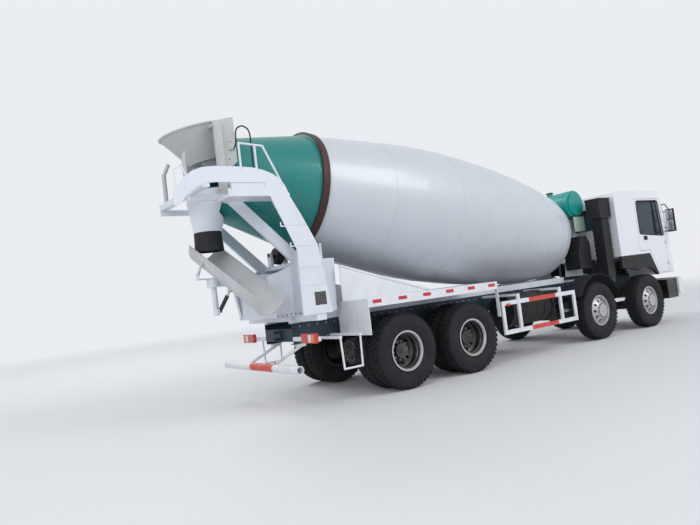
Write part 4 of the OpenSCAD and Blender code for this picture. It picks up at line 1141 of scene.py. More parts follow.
@dataclass
class Drum(Assembly):
    """The mixing drum: two-colour paint, weld beads, and the spiral blades inside."""

    courses: tuple[str, ...] = ("drum_rear", "drum_middle", "drum_front")
    seam_places: tuple[float, ...] = (1.2, 2.5, 3.9, 4.9, 5.5)
    seam_width: float = 0.012
    seam_rise: float = 0.004
    seam_sink: float = 0.002
    seam_segments: int = 120
    wall: float = 0.008
    blade_start: float = -0.9
    blade_end: float = 5.2
    blade_pitch: float = 1.75
    blade_height: float = 0.19
    blade_thickness: float = 0.008
    blade_gap: float = 0.006
    blade_lean: float = 0.03
    steps_a_turn: int = 48
    roller_radius: float = 0.13
    roller_bolt_count: int = 6
    roller_bolt_circle: float = 0.085
    roller_bolt_share: float = 0.3
    origin: Vector = field(default_factory=Vector)
    axis: Vector = field(default_factory=lambda: Vector((1.0, 0.0, 0.0)))
    outline: list[tuple[float, float]] = field(default_factory=list)

    def build(self, frame: Frame) -> None:
        """Dresses the drum, its ring and its rollers, and adds seams and blades."""
        self.origin = frame.pivot("drum_spin")
        self.axis = frame.axis("drum_spin")
        paint = DrumFinish("drum_paint", srgb(198, 203, 209), roughness=0.4, metallic=0.1,
                           coat=0.25, dust=0.2, dust_top=3.0, grain=0.08, grain_scale=200.0,
                           tone=0.1, neck_colour=srgb(0, 122, 118), axis=tuple(self.axis),
                           ring_place=tuple(self.origin))
        frame.dress(paint, *self.courses)
        frame.dress(RING_RUST, "drum_ring")
        frame.dress(IRON, "roller_left", "roller_right")
        frame.dress(GEAR_BLUE, "drum_gearbox")
        self.outline = self._measure(frame)
        self._seams(paint)
        self._blades()
        for side in Side:
            self._roller_bolts(frame, side)

    def _measure(self, frame: Frame) -> list[tuple[float, float]]:
        """Reads the wall's outline, as distance along the axis and radius, off the courses."""
        found: dict[float, float] = {}
        for name in self.courses:
            node = frame.nodes[name]
            for vert in node.data.vertices:
                away = node.matrix_world @ vert.co - self.origin
                ahead = away.dot(self.axis)
                along = round(ahead, 2)
                found[along] = max(found.get(along, 0.0), (away - self.axis * ahead).length)
        return sorted(found.items())

    def _radius(self, along: float) -> float:
        """The wall's outer radius at a distance along the axis."""
        before = [p for p in self.outline if p[0] <= along] or self.outline[:1]
        after = [p for p in self.outline if p[0] > along] or self.outline[-1:]
        low, high = before[-1], after[0]
        share = (along - low[0]) / (high[0] - low[0]) if high[0] > low[0] else 0.0
        return low[1] + (high[1] - low[1]) * share

    def _seams(self, paint: Finish) -> None:
        """Rings of weld where the plates of the wall meet."""
        maker = MeshMaker("drum_weld_seams")
        place = axis_place(self.origin, self.axis)
        half = self.seam_width / 2
        for wished in self.seam_places:
            along = min(self.outline, key=lambda p: abs(p[0] - wished))[0]
            top = self._radius(along) + self.seam_rise
            maker.lathe([(self._radius(along - half) - self.seam_sink, along - half),
                         (top, along - half / 2), (top, along + half / 2),
                         (self._radius(along + half) - self.seam_sink, along + half)],
                        place, self.seam_segments, closed=True)
        maker.build(paint, "drum", slot="drum_paint")

    def _blades(self) -> None:
        """Two spiral blades that run along the inner wall."""
        maker = MeshMaker("drum_spiral_blades")
        place = axis_place(self.origin, self.axis)
        reach = self.blade_end - self.blade_start
        turns = reach / self.blade_pitch
        count = int(turns * self.steps_a_turn)
        thick, lean = self.blade_thickness, self.blade_lean
        for start in (0.0, math.pi):
            points: list[Point] = []
            faces: list[Sequence[int]] = []
            for step in range(count + 1):
                along = self.blade_start + reach * step / count
                angle = start + 2 * math.pi * turns * step / count
                outer = self._radius(along) - self.wall - self.blade_gap
                inner = outer - self.blade_height
                for radius, shift in ((outer, 0.0), (inner, lean), (inner, lean + thick),
                                      (outer, thick)):
                    points.append((radius * math.cos(angle), radius * math.sin(angle),
                                   along + shift))
                if step < count:
                    faces += [(4 * step + k, 4 * step + (k + 1) % 4, 4 * step + 4 + (k + 1) % 4,
                               4 * step + 4 + k) for k in range(4)]
            faces += [(3, 2, 1, 0), tuple(4 * count + k for k in range(4))]
            maker.add(points, faces, place)
        maker.build(CONCRETE_STEEL, "drum")

    def _roller_bolts(self, frame: Frame, side: Side) -> None:
        """A ring of bolts just inside the front face of a support roller."""
        roller = f"roller_{side.word}"
        low, high = frame.ends(roller)
        axis = frame.axis(f"{roller}_spin")
        tilted = 2 * self.roller_radius * abs(axis.z)
        half_length = (high.x - low.x - tilted) / (2 * abs(axis.x))
        bolts = MeshMaker(f"roller_bolts_{side.word}")
        REPEAT.ring(bolts, ROLLER_BOLT.shape(), self.roller_bolt_count, self.roller_bolt_circle,
                    axis_place((low + high) / 2, axis), height=half_length * self.roller_bolt_share)
        bolts.build(ZINC, roller)


@dataclass(frozen=True)
class Pad:
    """One stuffed pad of a seat.

    It has its place over the front axle, its half sizes, its lean in degrees, the places of its
    sewn channels along it, the rise of its bolsters, and how full it is.
    """

    name: str
    place: tuple[float, float]
    half: Point
    turn: float
    channels: tuple[float, ...] = ()
    bolster: float = 0.0
    fill: float = 0.7

    def matrix(self, base: Vector, y: float) -> Matrix:
        """The pad's place: X runs from its front edge back and up, and Z faces outward."""
        angle = math.radians(self.turn)
        along = Vector((math.cos(angle), 0.0, math.sin(angle)))
        outward = Vector((math.sin(angle), 0.0, -math.cos(angle)))
        turned = Matrix((along, outward.cross(along), outward)).transposed().to_4x4()
        return Matrix.Translation((base.x + self.place[0], y, base.z + self.place[1])) @ turned


@dataclass
class Seat(Assembly):
    """A seat of the cab: a bellows plinth with crowned, sewn and piped pads.

    A fold of the plinth is its start and end height and its inset. A post of the head pad is
    given by the distance ahead and the height of its ends.
    """

    side: Side
    middle: float = 0.70
    axle_ahead: float = 0.31
    count: int = 28
    pull: float = 0.035
    corner: float = 0.07
    crown: float = 0.4
    panel: float = 0.62
    seam_depth: float = 0.008
    seam_width: float = 0.04
    channel_width: float = 0.06
    bolster_middle: float = 0.82
    bolster_width: float = 0.13
    piping: float = 0.005
    plinth_x: Span = (-0.20, 0.15)
    plinth_half: float = 0.20
    plinth: tuple[Point, ...] = (
        (0.0, 0.030, 0.0), (0.030, 0.042, 0.014), (0.042, 0.066, 0.0), (0.066, 0.082, 0.014))
    post: Section = ((-0.268, 0.66), (-0.27, 0.75))
    post_away: float = 0.06
    post_radius: float = 0.006
    pads: tuple[Pad, ...] = (
        Pad("cushion", (-0.035, 0.135), (0.235, 0.245, 0.05), 180.0, (-0.5, -0.05, 0.4), 0.02),
        Pad("back", (-0.245, 0.455), (0.25, 0.24, 0.05), 94.0, (-0.55, -0.1, 0.35), 0.018, 0.65),
        Pad("head", (-0.272, 0.80), (0.082, 0.135, 0.028), 93.0, fill=0.8))

    def build(self, frame: Frame) -> None:
        """Makes the seat's pads, which stand for the solid seats, and its plinth."""
        low = frame.ends("cab_interior")[0]
        base = Vector((low.x + self.axle_ahead, 0.0, low.z))
        y = self.middle * self.side.value
        for pad in self.pads:
            maker = MeshMaker(f"seat_{pad.name}_{self.side.word}")
            place = pad.matrix(base, y)
            points, faces, rim = self._skin(pad)
            maker.add(points, faces, place)
            maker.slot = 1
            maker.tube([place @ Vector(p) for p in [*rim, rim[0]]], self.piping)
            piece = maker.build([CLOTH, PIPING], "cab", smooth=60.0, slot="cloth")
            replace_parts(piece, "cab_interior")
        self._stand(base, y)

    def _stand(self, base: Vector, y: float) -> None:
        """The folded bellows under the cushion, and the two posts of the head pad."""
        maker = MeshMaker(f"seat_stand_{self.side.word}")
        for start, end, inset in self.plinth:
            maker.box((base.x + self.plinth_x[0] + inset, base.x + self.plinth_x[1] - inset),
                      (y - self.plinth_half + inset, y + self.plinth_half - inset),
                      (base.z + start, base.z + end))
        maker.slot = 1
        for away in (-self.post_away, self.post_away):
            maker.tube([(base.x + ahead, y + away, base.z + up) for ahead, up in self.post],
                       self.post_radius)
        maker.build([BLACK_PLASTIC, STEEL], "cab", bevel=0.003, slot="black_plastic")

    def _skin(self, pad: Pad) -> tuple[list[Point], list[Sequence[int]], list[Point]]:
        """A pad's closed skin: an outward and a rear sheet that share their rim.

        Args:
            pad: The pad.

        Returns:
            The points, the faces and the rim's points in order.
        """
        count = self.count
        steps = [math.sin(math.pi / 2 * (2 * k / count - 1)) for k in range(count + 1)]
        points: list[Point] = []
        numbers: dict[tuple[int, int, int], int] = {}
        faces: list[Sequence[int]] = []
        corners = ((0, 0), (1, 0), (1, 1), (0, 1))
        for sheet in (1, -1):
            for i, u in enumerate(steps):
                for j, v in enumerate(steps):
                    if sheet < 0 and (i in (0, count) or j in (0, count)):
                        numbers[sheet, i, j] = numbers[1, i, j]
                        continue
                    numbers[sheet, i, j] = len(points)
                    points.append(self._point(pad, u, v, sheet))
            for i in range(count):
                for j in range(count):
                    face = [numbers[sheet, i + a, j + b] for a, b in corners]
                    faces.append(face[::sheet])
        ends = [(i, 0) for i in range(count)] + [(count, j) for j in range(count)]
        ends += [(i, count) for i in range(count, 0, -1)] + [(0, j) for j in range(count, 0, -1)]
        return points, faces, [points[numbers[1, i, j]] for i, j in ends]

    def _point(self, pad: Pad, u: float, v: float, sheet: int) -> Point:
        """A point of a pad's sheet: crowned, drawn in at the sides, sunk along its seams.

        Args:
            pad: The pad.
            u: Place along the pad, from -1 to 1.
            v: Place across it, from -1 to 1.
            sheet: 1 for the outward sheet, -1 for the rear one.

        Returns:
            The point in the pad's own place.
        """
        rise = ((1 - u ** 6) * (1 - v ** 6)) ** self.crown
        trim = 1 - self.corner * (u * v) ** 4
        x = pad.half[0] * u * trim * (1 - self.pull * (1 - v * v))
        y = pad.half[1] * v * trim * (1 - self.pull * (1 - u * u))
        z = sheet * pad.half[2] * rise
        if sheet > 0:
            middle = math.exp(-(v / self.panel) ** 8)
            sunk = middle * sum(math.exp(-((u - c) / self.channel_width) ** 2)
                                for c in pad.channels)
            if pad.bolster > 0:
                sunk += math.exp(-((abs(v) - self.panel) / self.seam_width) ** 2)
                swell = math.exp(-((abs(v) - self.bolster_middle) / self.bolster_width) ** 2)
                z += pad.bolster * swell * rise
            z -= self.seam_depth * sunk * rise
        return (x, y, z)


@dataclass
class Cab(Assembly):
    """The cab with its doors, glass, mirrors, lamps and wipers.

    Places are given for the left side. X is measured from the cab's front face at the lamps, and Y
    from the door's skin at the handle. A point of a wiper is its distance across from the wiper's
    foot, up from the screen's lower edge, and off the glass.
    """

    door_y: float = 1.131
    window: Section = (
        (4.80, 1.924), (5.26, 1.89), (5.17, 2.64), (5.13, 2.665), (4.355, 2.665), (4.32, 2.63),
        (4.32, 1.96), (4.80, 1.924))
    window_bend: float = 0.05
    seal_radius: float = 0.012
    divider: Section = ((5.02, 1.91), (4.985, 2.66))
    divider_inset: float = 0.016
    divider_radius: float = 0.013
    handle: tuple[Box, ...] = (
        ((4.45, 4.57), (0.0, 0.012), (1.825, 1.91)),
        ((4.462, 4.558), (0.01, 0.024), (1.855, 1.877)))
    mirror_arms: tuple[tuple[Point, ...], ...] = (
        ((5.335, 1.118, 2.56), (5.375, 1.19, 2.572), (5.404, 1.24, 2.445)),
        ((5.335, 1.118, 1.965), (5.375, 1.19, 1.977), (5.404, 1.24, 1.955)))
    arm_bend: float = 0.03
    arm_radius: float = 0.011
    mirror_x: Span = (5.387, 5.391)
    mirror_y: Span = (1.157, 1.323)
    mirror_z: tuple[Span, ...] = ((1.98, 2.21), (2.23, 2.43))
    lamp_case: Box = ((-0.002, 0.012), (0.925, 1.09), (1.13, 1.46))
    turn_lamp: Box = ((0.01, 0.02), (0.94, 1.075), (1.145, 1.21))
    lens_heights: Span = (1.28, 1.39)
    lens_seat: float = 0.011
    lens_section: Section = (
        (0.0, 0.0), (0.048, 0.0), (0.05, 0.008), (0.035, 0.013), (0.0, 0.014))
    screen_top_x: float = 5.318
    wiper_feet: Span = (-0.25, 0.62)
    wiper_arm: tuple[Point, ...] = ((0.0, 0.02, 0.016), (-0.18, 0.12, 0.022), (-0.36, 0.20, 0.018))
    wiper_blade: tuple[Point, ...] = ((-0.66, 0.12, 0.012), (-0.06, 0.28, 0.012))
    wiper_arm_radius: float = 0.006
    wiper_blade_radius: float = 0.007

    def build(self, frame: Frame) -> None:
        """Dresses the cab's nodes and adds its fittings."""
        frame.dress(WHITE, "cab_shell", "door_left", "door_right")
        frame.dress(BLACK_PLASTIC, "cab_fittings", "cab_interior")
        frame.dress(GLASS, "cab_glass", "door_glass_left", "door_glass_right")
        face = frame.ends("cab_shell")[1].x
        for side in Side:
            Seat(side).build(frame)
            self._door(side)
            self._mirror(side)
            self._lamps(face, side)
        self._wipers(frame)

    def _door(self, side: Side) -> None:
        """The window seal, its divider, and the handle in its recess."""
        seal = MeshMaker(f"door_seal_{side.word}")
        edge = [side.put((x, self.door_y, z)) for x, z in self.window]
        seal.tube(rounded(edge, self.window_bend), self.seal_radius)
        inner = self.door_y - self.divider_inset
        seal.tube([side.put((x, inner, z)) for x, z in self.divider], self.divider_radius)
        for xs, (near, far), zs in self.handle:
            seal.box(xs, side.span(self.door_y + near, self.door_y + far), zs)
        seal.build(RUBBER, f"door_{side.word}", bevel=0.003)

    def _mirror(self, side: Side) -> None:
        """The mirror's two arms and its glass on the rear face."""
        arms = MeshMaker(f"mirror_arms_{side.word}")
        for path in self.mirror_arms:
            bent = rounded([side.put(point) for point in path], self.arm_bend)
            arms.tube(bent, self.arm_radius, sides=10)
        arms.build(BLACK_PLASTIC, "cab")
        panes = [(self.mirror_x, side.span(*self.mirror_y), zs) for zs in self.mirror_z]
        box_piece(f"mirror_glass_{side.word}", panes, STEEL, "cab", bevel=0.001)

    def _lamps(self, face: float, side: Side) -> None:
        """A head lamp with two round reflectors, and the turn lamp below it."""
        case, turn = (shifted((xs, side.span(*ys), zs), (face, 0.0, 0.0))
                      for xs, ys, zs in (self.lamp_case, self.turn_lamp))
        box_piece(f"head_lamp_case_{side.word}", [case], BLACK_PLASTIC, "cab", bevel=0.006)
        lens = MeshMaker(f"head_lamp_lens_{side.word}")
        for height in self.lens_heights:
            middle = (case[1][0] + case[1][1]) / 2
            place = axis_place((face + self.lens_seat, middle, height), (1, 0, 0))
            lens.lathe(self.lens_section, place)
        lens.build(LAMP_CLEAR, "cab")
        box_piece(f"turn_lamp_{side.word}", [turn], LAMP_AMBER, "cab", bevel=0.004)

    def _wipers(self, frame: Frame) -> None:
        """Two wipers with their arms, which lie along the windscreen."""
        low, high = frame.ends("cab_glass")
        slope = (self.screen_top_x - high.x) / (high.z - low.z)
        wipers = MeshMaker("wipers")
        for foot in self.wiper_feet:
            for line, radius in ((self.wiper_arm, self.wiper_arm_radius),
                                 (self.wiper_blade, self.wiper_blade_radius)):
                wipers.tube([(high.x + slope * up + off, foot + across, low.z + up)
                             for across, up, off in line], radius)
        wipers.build(BLACK_PLASTIC, "cab")


@dataclass
class Chassis(Assembly):
    """Frame, axles, guards and lamps."""

    rail_bolts: tuple[BoltRow, ...] = (
        BoltRow((-3.7, 0.43, 1.095), 46, (0.15, 0.0, 0.0)),
        BoltRow((-3.7, 0.43, 0.905), 46, (0.15, 0.0, 0.0)))
    dash_start: float = -2.955
    dash_length: float = 0.16
    dash_step: float = 0.47
    dash_count: int = 6
    dash_heights: Span = (1.298, 1.35)
    guard_band: Span = (0.37, 1.10)
    underrun_band: Span = (-0.47, 0.24)
    underrun_x: float = -4.12
    bumper_band: Span = (4.9, 5.397)
    tail_lenses: tuple[tuple[str, Span, Finish], ...] = (
        ("tail_lens_amber", (1.03, 1.115), LAMP_AMBER),
        ("tail_lens_clear", (0.955, 1.022), LAMP_CLEAR))
    tail_lens_x: Span = (-0.005, 0.001)
    tail_lens_margin: float = 0.014
    reflector: Box = ((-0.22, -0.12), (-0.004, 0.006), (0.945, 0.985))
    cover_behind: float = 0.185
    cover_bolt_count: int = 14
    cover_bolt_circle: float = 0.155

    def build(self, frame: Frame) -> None:
        """Dresses the chassis' nodes, with their warning bands, and adds bolts and lenses."""
        starts = [self.dash_start + self.dash_step * i for i in range(self.dash_count)]
        above, below = self.dash_heights
        edge = BandedFinish("striped_edge", WHITE.colour, roughness=0.35, coat=0.2, dust=0.45,
                            dust_top=1.8, band_colour=srgb(196, 30, 34), above=above, below=below,
                            bands=tuple((start, start + self.dash_length) for start in starts))
        guards = BandedFinish("striped_guard", WHITE.colour, roughness=0.4, dust=0.45,
                              dust_top=1.4, band_colour=srgb(208, 52, 34), above=0.0,
                              bands=(self.guard_band,), cross_bands=(self.underrun_band,),
                              cross_before=self.underrun_x)
        bumper = BandedFinish("bumper_paint", WHITE.colour, roughness=0.35, coat=0.2, dust=0.12,
                              dust_top=1.4, band_colour=BLACK_PLASTIC.colour,
                              bands=(self.bumper_band,))
        knuckles = [name for name in frame.nodes if name.startswith("knuckle")]
        frame.dress(edge, "rear_mudguards")
        frame.dress(guards, "guard_rails")
        frame.dress(bumper, "front_bumper")
        frame.dress(CHASSIS_TEAL, "chassis_rails", "cross_members")
        frame.dress(IRON, "axle_beams", "leaf_springs", "power_train", *knuckles)
        frame.dress(BLACK_PLASTIC, "chassis_tanks", "arch_mudguards")
        frame.dress(LAMP_RED, "rear_lamps")
        bolt_rows("rail_bolts", RAIL_BOLT, self.rail_bolts)
        self._lenses(frame)
        self._axle_bolts(frame)

    def _lenses(self, frame: Frame) -> None:
        """Amber and clear lenses at the tail lamps, and the red reflectors of the side guards."""
        low, high = frame.ends("rear_lamps")
        margin = self.tail_lens_margin
        for name, across, finish in self.tail_lenses:
            lenses = [((low.x + self.tail_lens_x[0], low.x + self.tail_lens_x[1]),
                       side.span(*across), (low.z + margin, high.z - margin)) for side in Side]
            box_piece(name, lenses, finish, "chassis", bevel=0.002)
        guard = frame.ends("guard_rails")[1].y
        xs, (near, far), zs = self.reflector
        dots = [(xs, side.span(guard + near, guard + far), zs) for side in Side]
        box_piece("side_reflectors", dots, LAMP_RED, "chassis", bevel=0.002)

    def _axle_bolts(self, frame: Frame) -> None:
        """Rings of bolts on the differentials' rear covers."""
        height = frame.centre("tyre_3_left").z
        bolts = MeshMaker("axle_cover_bolts")
        for number in DRIVEN:
            x = frame.centre(f"tyre_{number}_left").x - self.cover_behind
            REPEAT.ring(bolts, COVER_BOLT.shape(), self.cover_bolt_count, self.cover_bolt_circle,
                        axis_place((x, 0.0, height), (-1, 0, 0)))
        bolts.build(ZINC, "chassis")


@dataclass
class RearEnd(Assembly):
    """Pedestal, ladder, hopper, collector and chute.

    A rung is given by its X and Z, and a rib of the ladder's leg by its ends in X and its height.
    The sight panel is measured from the water tank's middle, its right side and its foot.
    """

    rungs: Section = (
        (-3.705, 1.430), (-3.705, 1.670), (-3.705, 1.910), (-3.705, 2.150), (-3.760, 2.330),
        (-3.875, 2.555), (-3.990, 2.780))
    rung_radius: float = 0.016
    ladder_y: Span = (-1.065, -0.745)
    tooth: Box = ((-0.010, 0.010), (-0.003, 0.003), (-0.002, 0.004))
    tooth_step: float = 0.02
    deck_x: Span = (-4.82, -4.02)
    deck_top: float = 2.90
    grating_count: int = 20
    grating_inset: float = 0.02
    grating_bar: Span = (-0.004, 0.004)
    grating_rise: float = 0.014
    panel: Box = ((-3.781, -3.604), (-1.084, -1.03), (1.376, 1.552))
    switch_count: int = 6
    switch_step: float = 0.029
    switch_bar: Span = (-0.002, 0.002)
    switch_rise: float = 0.003
    panel_margin: float = 0.015
    switch_inset: float = 0.016
    ribs: tuple[Point, ...] = (
        (-4.109, -3.779, 2.47), (-3.991, -3.640, 2.19), (-3.972, -3.604, 1.90),
        (-3.977, -3.580, 1.66))
    rib_y: Span = (-1.0955, -1.0895)
    rib_half: float = 0.006
    hose_radius: float = 0.010
    hose: tuple[Point, ...] = (
        (-4.50, -0.606, 3.60), (-4.50, -0.636, 3.60), (-4.50, -0.686, 3.614),
        (-4.50, -0.722, 3.65), (-4.50, -0.736, 3.70), (-4.499, -0.738, 3.745),
        (-4.497, -0.739, 3.78), (-4.477, -0.741, 3.84), (-4.423, -0.743, 3.877),
        (-4.371, -0.745, 3.877), (-4.317, -0.748, 3.84), (-4.297, -0.751, 3.78),
        (-4.296, -0.755, 3.70), (-4.300, -0.762, 3.55), (-4.308, -0.770, 3.38),
        (-4.320, -0.778, 3.20), (-4.334, -0.786, 3.05), (-4.350, -0.795, 2.898))
    fitting: Section = (
        (0.0, -0.002), (0.026, -0.002), (0.026, 0.012), (0.020, 0.014), (0.020, 0.034),
        (0.0125, 0.040), (0.0110, 0.040), (0.0110, 0.0), (0.0, 0.0))
    plate_bolts: tuple[BoltRow, ...] = (
        BoltRow((-4.12, 0.62, 1.285), 11, (0.07, 0.0, 0.0)),
        BoltRow((-4.62, 0.606, 3.10), 6, (0.02, 0.0, 0.12)))
    cap: Section = ((0.0, 0.0), (0.075, 0.0), (0.075, 0.018), (0.05, 0.026), (0.0, 0.028))
    cap_sink: float = 0.002
    sight: Box = ((-0.14, 0.26), (0.02, 0.028), (-0.28, 0.05))
    sight_frame_inset: float = 0.022
    sight_frame_bend: float = 0.03
    sight_frame_radius: float = 0.011

    def build(self, frame: Frame) -> None:
        """Dresses the rear nodes and adds grips, grating, the panel, the hose and bolts."""
        frame.dress(FRAME_WHITE, "mixer_subframe", "rear_pedestal", "ladder_platform",
                    "discharge_collector", "chute_swivel")
        frame.dress(HOPPER_GREY, "feed_hopper")
        frame.dress(RUBBER, "collector_skirt")
        frame.dress(GREEN, "water_tank")
        frame.dress(BLACK_PLASTIC, "cooler_unit")
        frame.dress(CONCRETE_STEEL, "discharge_chute")
        frame.dress(IRON, "jack_barrel")
        frame.dress(STEEL, "jack_rod")
        self._grips()
        self._panel()
        ribs = [((x0 + self.rib_half, x1 - self.rib_half), self.rib_y,
                 (z - self.rib_half, z + self.rib_half)) for x0, x1, z in self.ribs]
        box_piece("ladder_leg_ribs", ribs, FRAME_WHITE, "chassis", bevel=0.002)
        self._hose()
        bolt_rows("plate_bolts", PLATE_BOLT, self.plate_bolts)
        self._tank_trim(frame)

    def _grips(self) -> None:
        """Serrated strips on the rungs, and the bars of the platform's grating."""
        near, far = self.ladder_y
        grips = MeshMaker("ladder_grips")
        for x, z in self.rungs:
            tooth = MeshMaker("rung_tooth")
            tooth.box(*self.tooth)
            REPEAT.row(grips, tooth, int((far - near) / self.tooth_step),
                       (0.0, self.tooth_step, 0.0), (x, near, z + self.rung_radius))
        start, end = self.deck_x
        bar = MeshMaker("grating_bar")
        bar.box(self.grating_bar, (0.0, far - near), (0.0, self.grating_rise))
        REPEAT.row(grips, bar, self.grating_count,
                   ((end - start) / self.grating_count, 0.0, 0.0),
                   (start + self.grating_inset, near, self.deck_top))
        grips.build(ZINC, "chassis")

    def _panel(self) -> None:
        """The dark control panel in the ladder's foot, with its grid of switches."""
        box_piece("control_panel", [self.panel], BLACK_PLASTIC, "chassis", bevel=0.004)
        (x0, x1), (z0, z1) = self.panel[0], self.panel[2]
        face = self.panel[1][0]
        margin, inset, step = self.panel_margin, self.switch_inset, self.switch_step
        bars = MeshMaker("control_panel_bars")
        for xs, zs, way, start in (
                (self.switch_bar, (0.0, z1 - z0 - 2 * margin), (step, 0.0, 0.0),
                 (x0 + inset, face, z0 + margin)),
                ((0.0, x1 - x0 - 2 * margin), self.switch_bar, (0.0, 0.0, step),
                 (x0 + margin, face, z0 + inset))):
            bar = MeshMaker("panel_bar")
            bar.box(xs, (-self.switch_rise, 0.0), zs)
            REPEAT.row(bars, bar, self.switch_count, way, start)
        bars.build(ZINC, "chassis")

    def _hose(self) -> None:
        """The black wash hose, from its fitting in a loop and down to the platform."""
        path = flowing(self.hose)
        hose = MeshMaker("wash_hose")
        hose.tube(path, self.hose_radius, sides=12)
        piece = hose.build(RUBBER, "chassis")
        fitting = MeshMaker("hose_fitting")
        fitting.lathe(self.fitting, axis_place(self.hose[0], (0, -1, 0)), HEXAGON)
        nut = fitting.build(STEEL, "chassis", bevel=0.001)

    def _tank_trim(self, frame: Frame) -> None:
        """The filler cap of the water tank and the pale panel with its frame below the tank."""
        low, high = frame.ends("water_tank")
        middle = (low.x + high.x) / 2
        cap = MeshMaker("tank_filler_cap")
        cap.lathe(self.cap, Matrix.Translation((middle, 0.0, high.z - self.cap_sink)))
        cap.build(BLACK_PLASTIC, "chassis")
        sight = shifted(self.sight, (middle, low.y, low.z))
        box_piece("tank_sight_panel", [sight], SIGHT_GREEN, "chassis", bevel=0.002)
        rim = MeshMaker("tank_sight_frame")
        (x0, x1), (z0, z1) = sight[0], sight[2]
        y = low.y + self.sight_frame_inset
        corners = [(x0, y, z1), (x0, y, z0), (x1, y, z0), (x1, y, z1), (x0, y, z1)]
        rim.tube(rounded(corners, self.sight_frame_bend), self.sight_frame_radius)
        rim.build(BLACK_PLASTIC, "chassis")


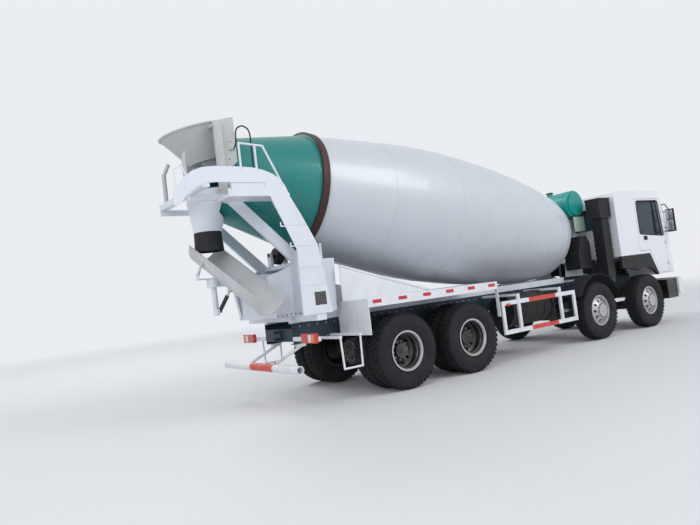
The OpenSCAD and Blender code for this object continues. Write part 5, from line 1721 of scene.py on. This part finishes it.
@dataclass
class Studio:
    """Floor, light and the camera at the photograph's viewing angle."""

    eye: Point = (-7.898, -7.899, 1.519)
    yaw: float = 55.11
    pitch: float = 2.66
    roll: float = -6.94
    focal: float = 30.57
    sensor: float = 36.0
    farthest: float = 400.0
    pale: Colour = field(default_factory=lambda: srgb(216, 218, 220))
    floor_roughness: float = 0.9
    backdrop: Colour = field(default_factory=lambda: srgb(234, 237, 241))
    fade: Span = (8.0, 30.0)
    sky: Colour = (0.92, 0.95, 1.0)
    sky_strength: float = 0.69
    aim: Point = (0.0, 0.0, 1.5)
    lamps: tuple[tuple[str, Point, float, float], ...] = (
        ("key", (6.0, -16.0, 14.0), 1360.0, 10.0), ("fill", (-16.0, -10.0, 9.0), 740.0, 10.0),
        ("rim", (-4.0, 14.0, 15.0), 1280.0, 8.0))
    floor_x: Span = (-60.0, 45.0)
    floor_half_width: float = 110.0
    bend_radius: float = 12.0
    wall_top: float = 45.0

    def build(self) -> None:
        """Builds the whole studio."""
        self._floor()
        self._world()
        self._light()
        self._camera()

    def _floor(self) -> None:
        """A pale floor that curves up into a backdrop far behind the truck."""
        start, end = self.floor_x
        bend = self.bend_radius
        rows = [(start, 0.0), (end, 0.0)]
        rows += [(end + bend * math.sin(angle), bend - bend * math.cos(angle))
                 for angle in (math.radians(degrees) for degrees in range(10, 91, 10))]
        rows.append((end + bend, self.wall_top))
        points = [(along, across, height) for along, height in rows
                  for across in (-self.floor_half_width, self.floor_half_width)]
        faces = [(2 * i, 2 * i + 1, 2 * i + 3, 2 * i + 2) for i in range(len(rows) - 1)]
        maker = MeshMaker("studio_floor")
        maker.add(points, faces, Matrix.Rotation(math.radians(self.yaw), 4, "Z"))
        floor = add_object("studio_floor", maker.mesh(outward=False))
        floor.data.materials.append(self._floor_material())
        shade(floor, 60)

    @staticmethod
    def _seen(sketch: Sketch) -> bpy.types.NodeSocket:
        """Gives 1 on rays from the camera, a mirror or glass, and 0 on rays that light."""
        path = sketch.add("ShaderNodeLightPath").outputs
        clear = sketch.math("MAXIMUM", path["Is Glossy Ray"], path["Is Transmission Ray"])
        return sketch.math("MAXIMUM", path["Is Camera Ray"], clear)

    def _floor_material(self) -> bpy.types.Material:
        """A pale floor with the truck's shadow, which fades into the plain backdrop colour.

        Returns:
            The floor's material.
        """
        material, sketch, shader = new_material("pale_floor")
        sketch.fill(shader, {"Base Color": self.pale, "Roughness": self.floor_roughness})
        away = sketch.add("ShaderNodeVectorMath", {0: sketch.place()}, operation="LENGTH")
        far = sketch.ramp(away.outputs["Value"], *self.fade)
        share = sketch.math("MULTIPLY", far, self._seen(sketch))
        self._show_backdrop(sketch, shader, share, "ShaderNodeEmission", "Material Output")
        return material

    def _show_backdrop(self, sketch: Sketch, lit: bpy.types.Node, share: bpy.types.NodeSocket,
                       kind: str, end: str) -> None:
        """Mixes the plain backdrop colour into a shader and joins it to its output.

        Args:
            sketch: The nodes.
            lit: The shader of the floor or the sky.
            share: How much of the backdrop colour is seen.
            kind: The type of the backdrop colour's shader.
            end: The output node's name.
        """
        plain = sketch.add(kind, {"Color": self.backdrop, "Strength": 1.0})
        mixed = sketch.add("ShaderNodeMixShader", {0: share, 1: lit.outputs[0],
                                                   2: plain.outputs[0]})
        sketch.fill(sketch.tree.nodes[end], {"Surface": mixed.outputs[0]})

    def _world(self) -> None:
        """An even pale sky that lights the truck, seen as the plain backdrop colour."""
        world = bpy.data.worlds.new("studio_sky")
        bpy.context.scene.world = world
        world.use_nodes = True
        sketch = Sketch(world.node_tree)
        sky = world.node_tree.nodes["Background"]
        sketch.fill(sky, {"Color": self.sky, "Strength": self.sky_strength})
        self._show_backdrop(sketch, sky, self._seen(sketch), "ShaderNodeBackground",
                            "World Output")

    def _light(self) -> None:
        """A broad high key on the right side, a soft fill from behind, and a rim light."""
        for name, place, power, size in self.lamps:
            data = bpy.data.lights.new(name, "AREA")
            data.energy = power
            data.size = size
            lamp = add_object(name, data)
            lamp.location = place
            toward = Vector(self.aim) - Vector(place)
            lamp.rotation_euler = toward.to_track_quat("-Z", "Y").to_euler()

    def _camera(self) -> None:
        """The camera where the photograph was taken from."""
        data = bpy.data.cameras.new("photo_camera")
        data.lens = self.focal
        data.sensor_width = self.sensor
        data.clip_end = self.farthest
        camera = add_object("photo_camera", data)
        yaw, pitch, roll = (math.radians(v) for v in (self.yaw, self.pitch, self.roll))
        ahead = Vector((math.cos(pitch) * math.cos(yaw), math.cos(pitch) * math.sin(yaw),
                        math.sin(pitch)))
        level = Vector((math.sin(yaw), -math.cos(yaw), 0.0))
        upright = level.cross(ahead)
        right = level * math.cos(roll) + upright * math.sin(roll)
        up = upright * math.cos(roll) - level * math.sin(roll)
        turn = Matrix((right, up, -ahead)).transposed().to_4x4()
        camera.matrix_world = Matrix.Translation(Vector(self.eye)) @ turn
        bpy.context.scene.camera = camera
        bpy.context.scene.view_settings.view_transform = "Standard"


def main() -> None:
    """Builds the dressed truck and its studio."""
    logging.basicConfig(level=logging.INFO, format="%(name)s %(message)s")
    frame = Frame.from_kit(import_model())
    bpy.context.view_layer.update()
    Studio().build()
    wheels = [Wheel(number, side, twin=number in DRIVEN)
              for number in (*STEERED, *DRIVEN) for side in Side]
    parts: list[Assembly] = [*wheels, Drum(), Cab(), Chassis(), RearEnd()]
    for part in parts:
        part.build(frame)
        LOG.info("built %s", type(part).__name__)


if __name__ == "__main__":
    main()
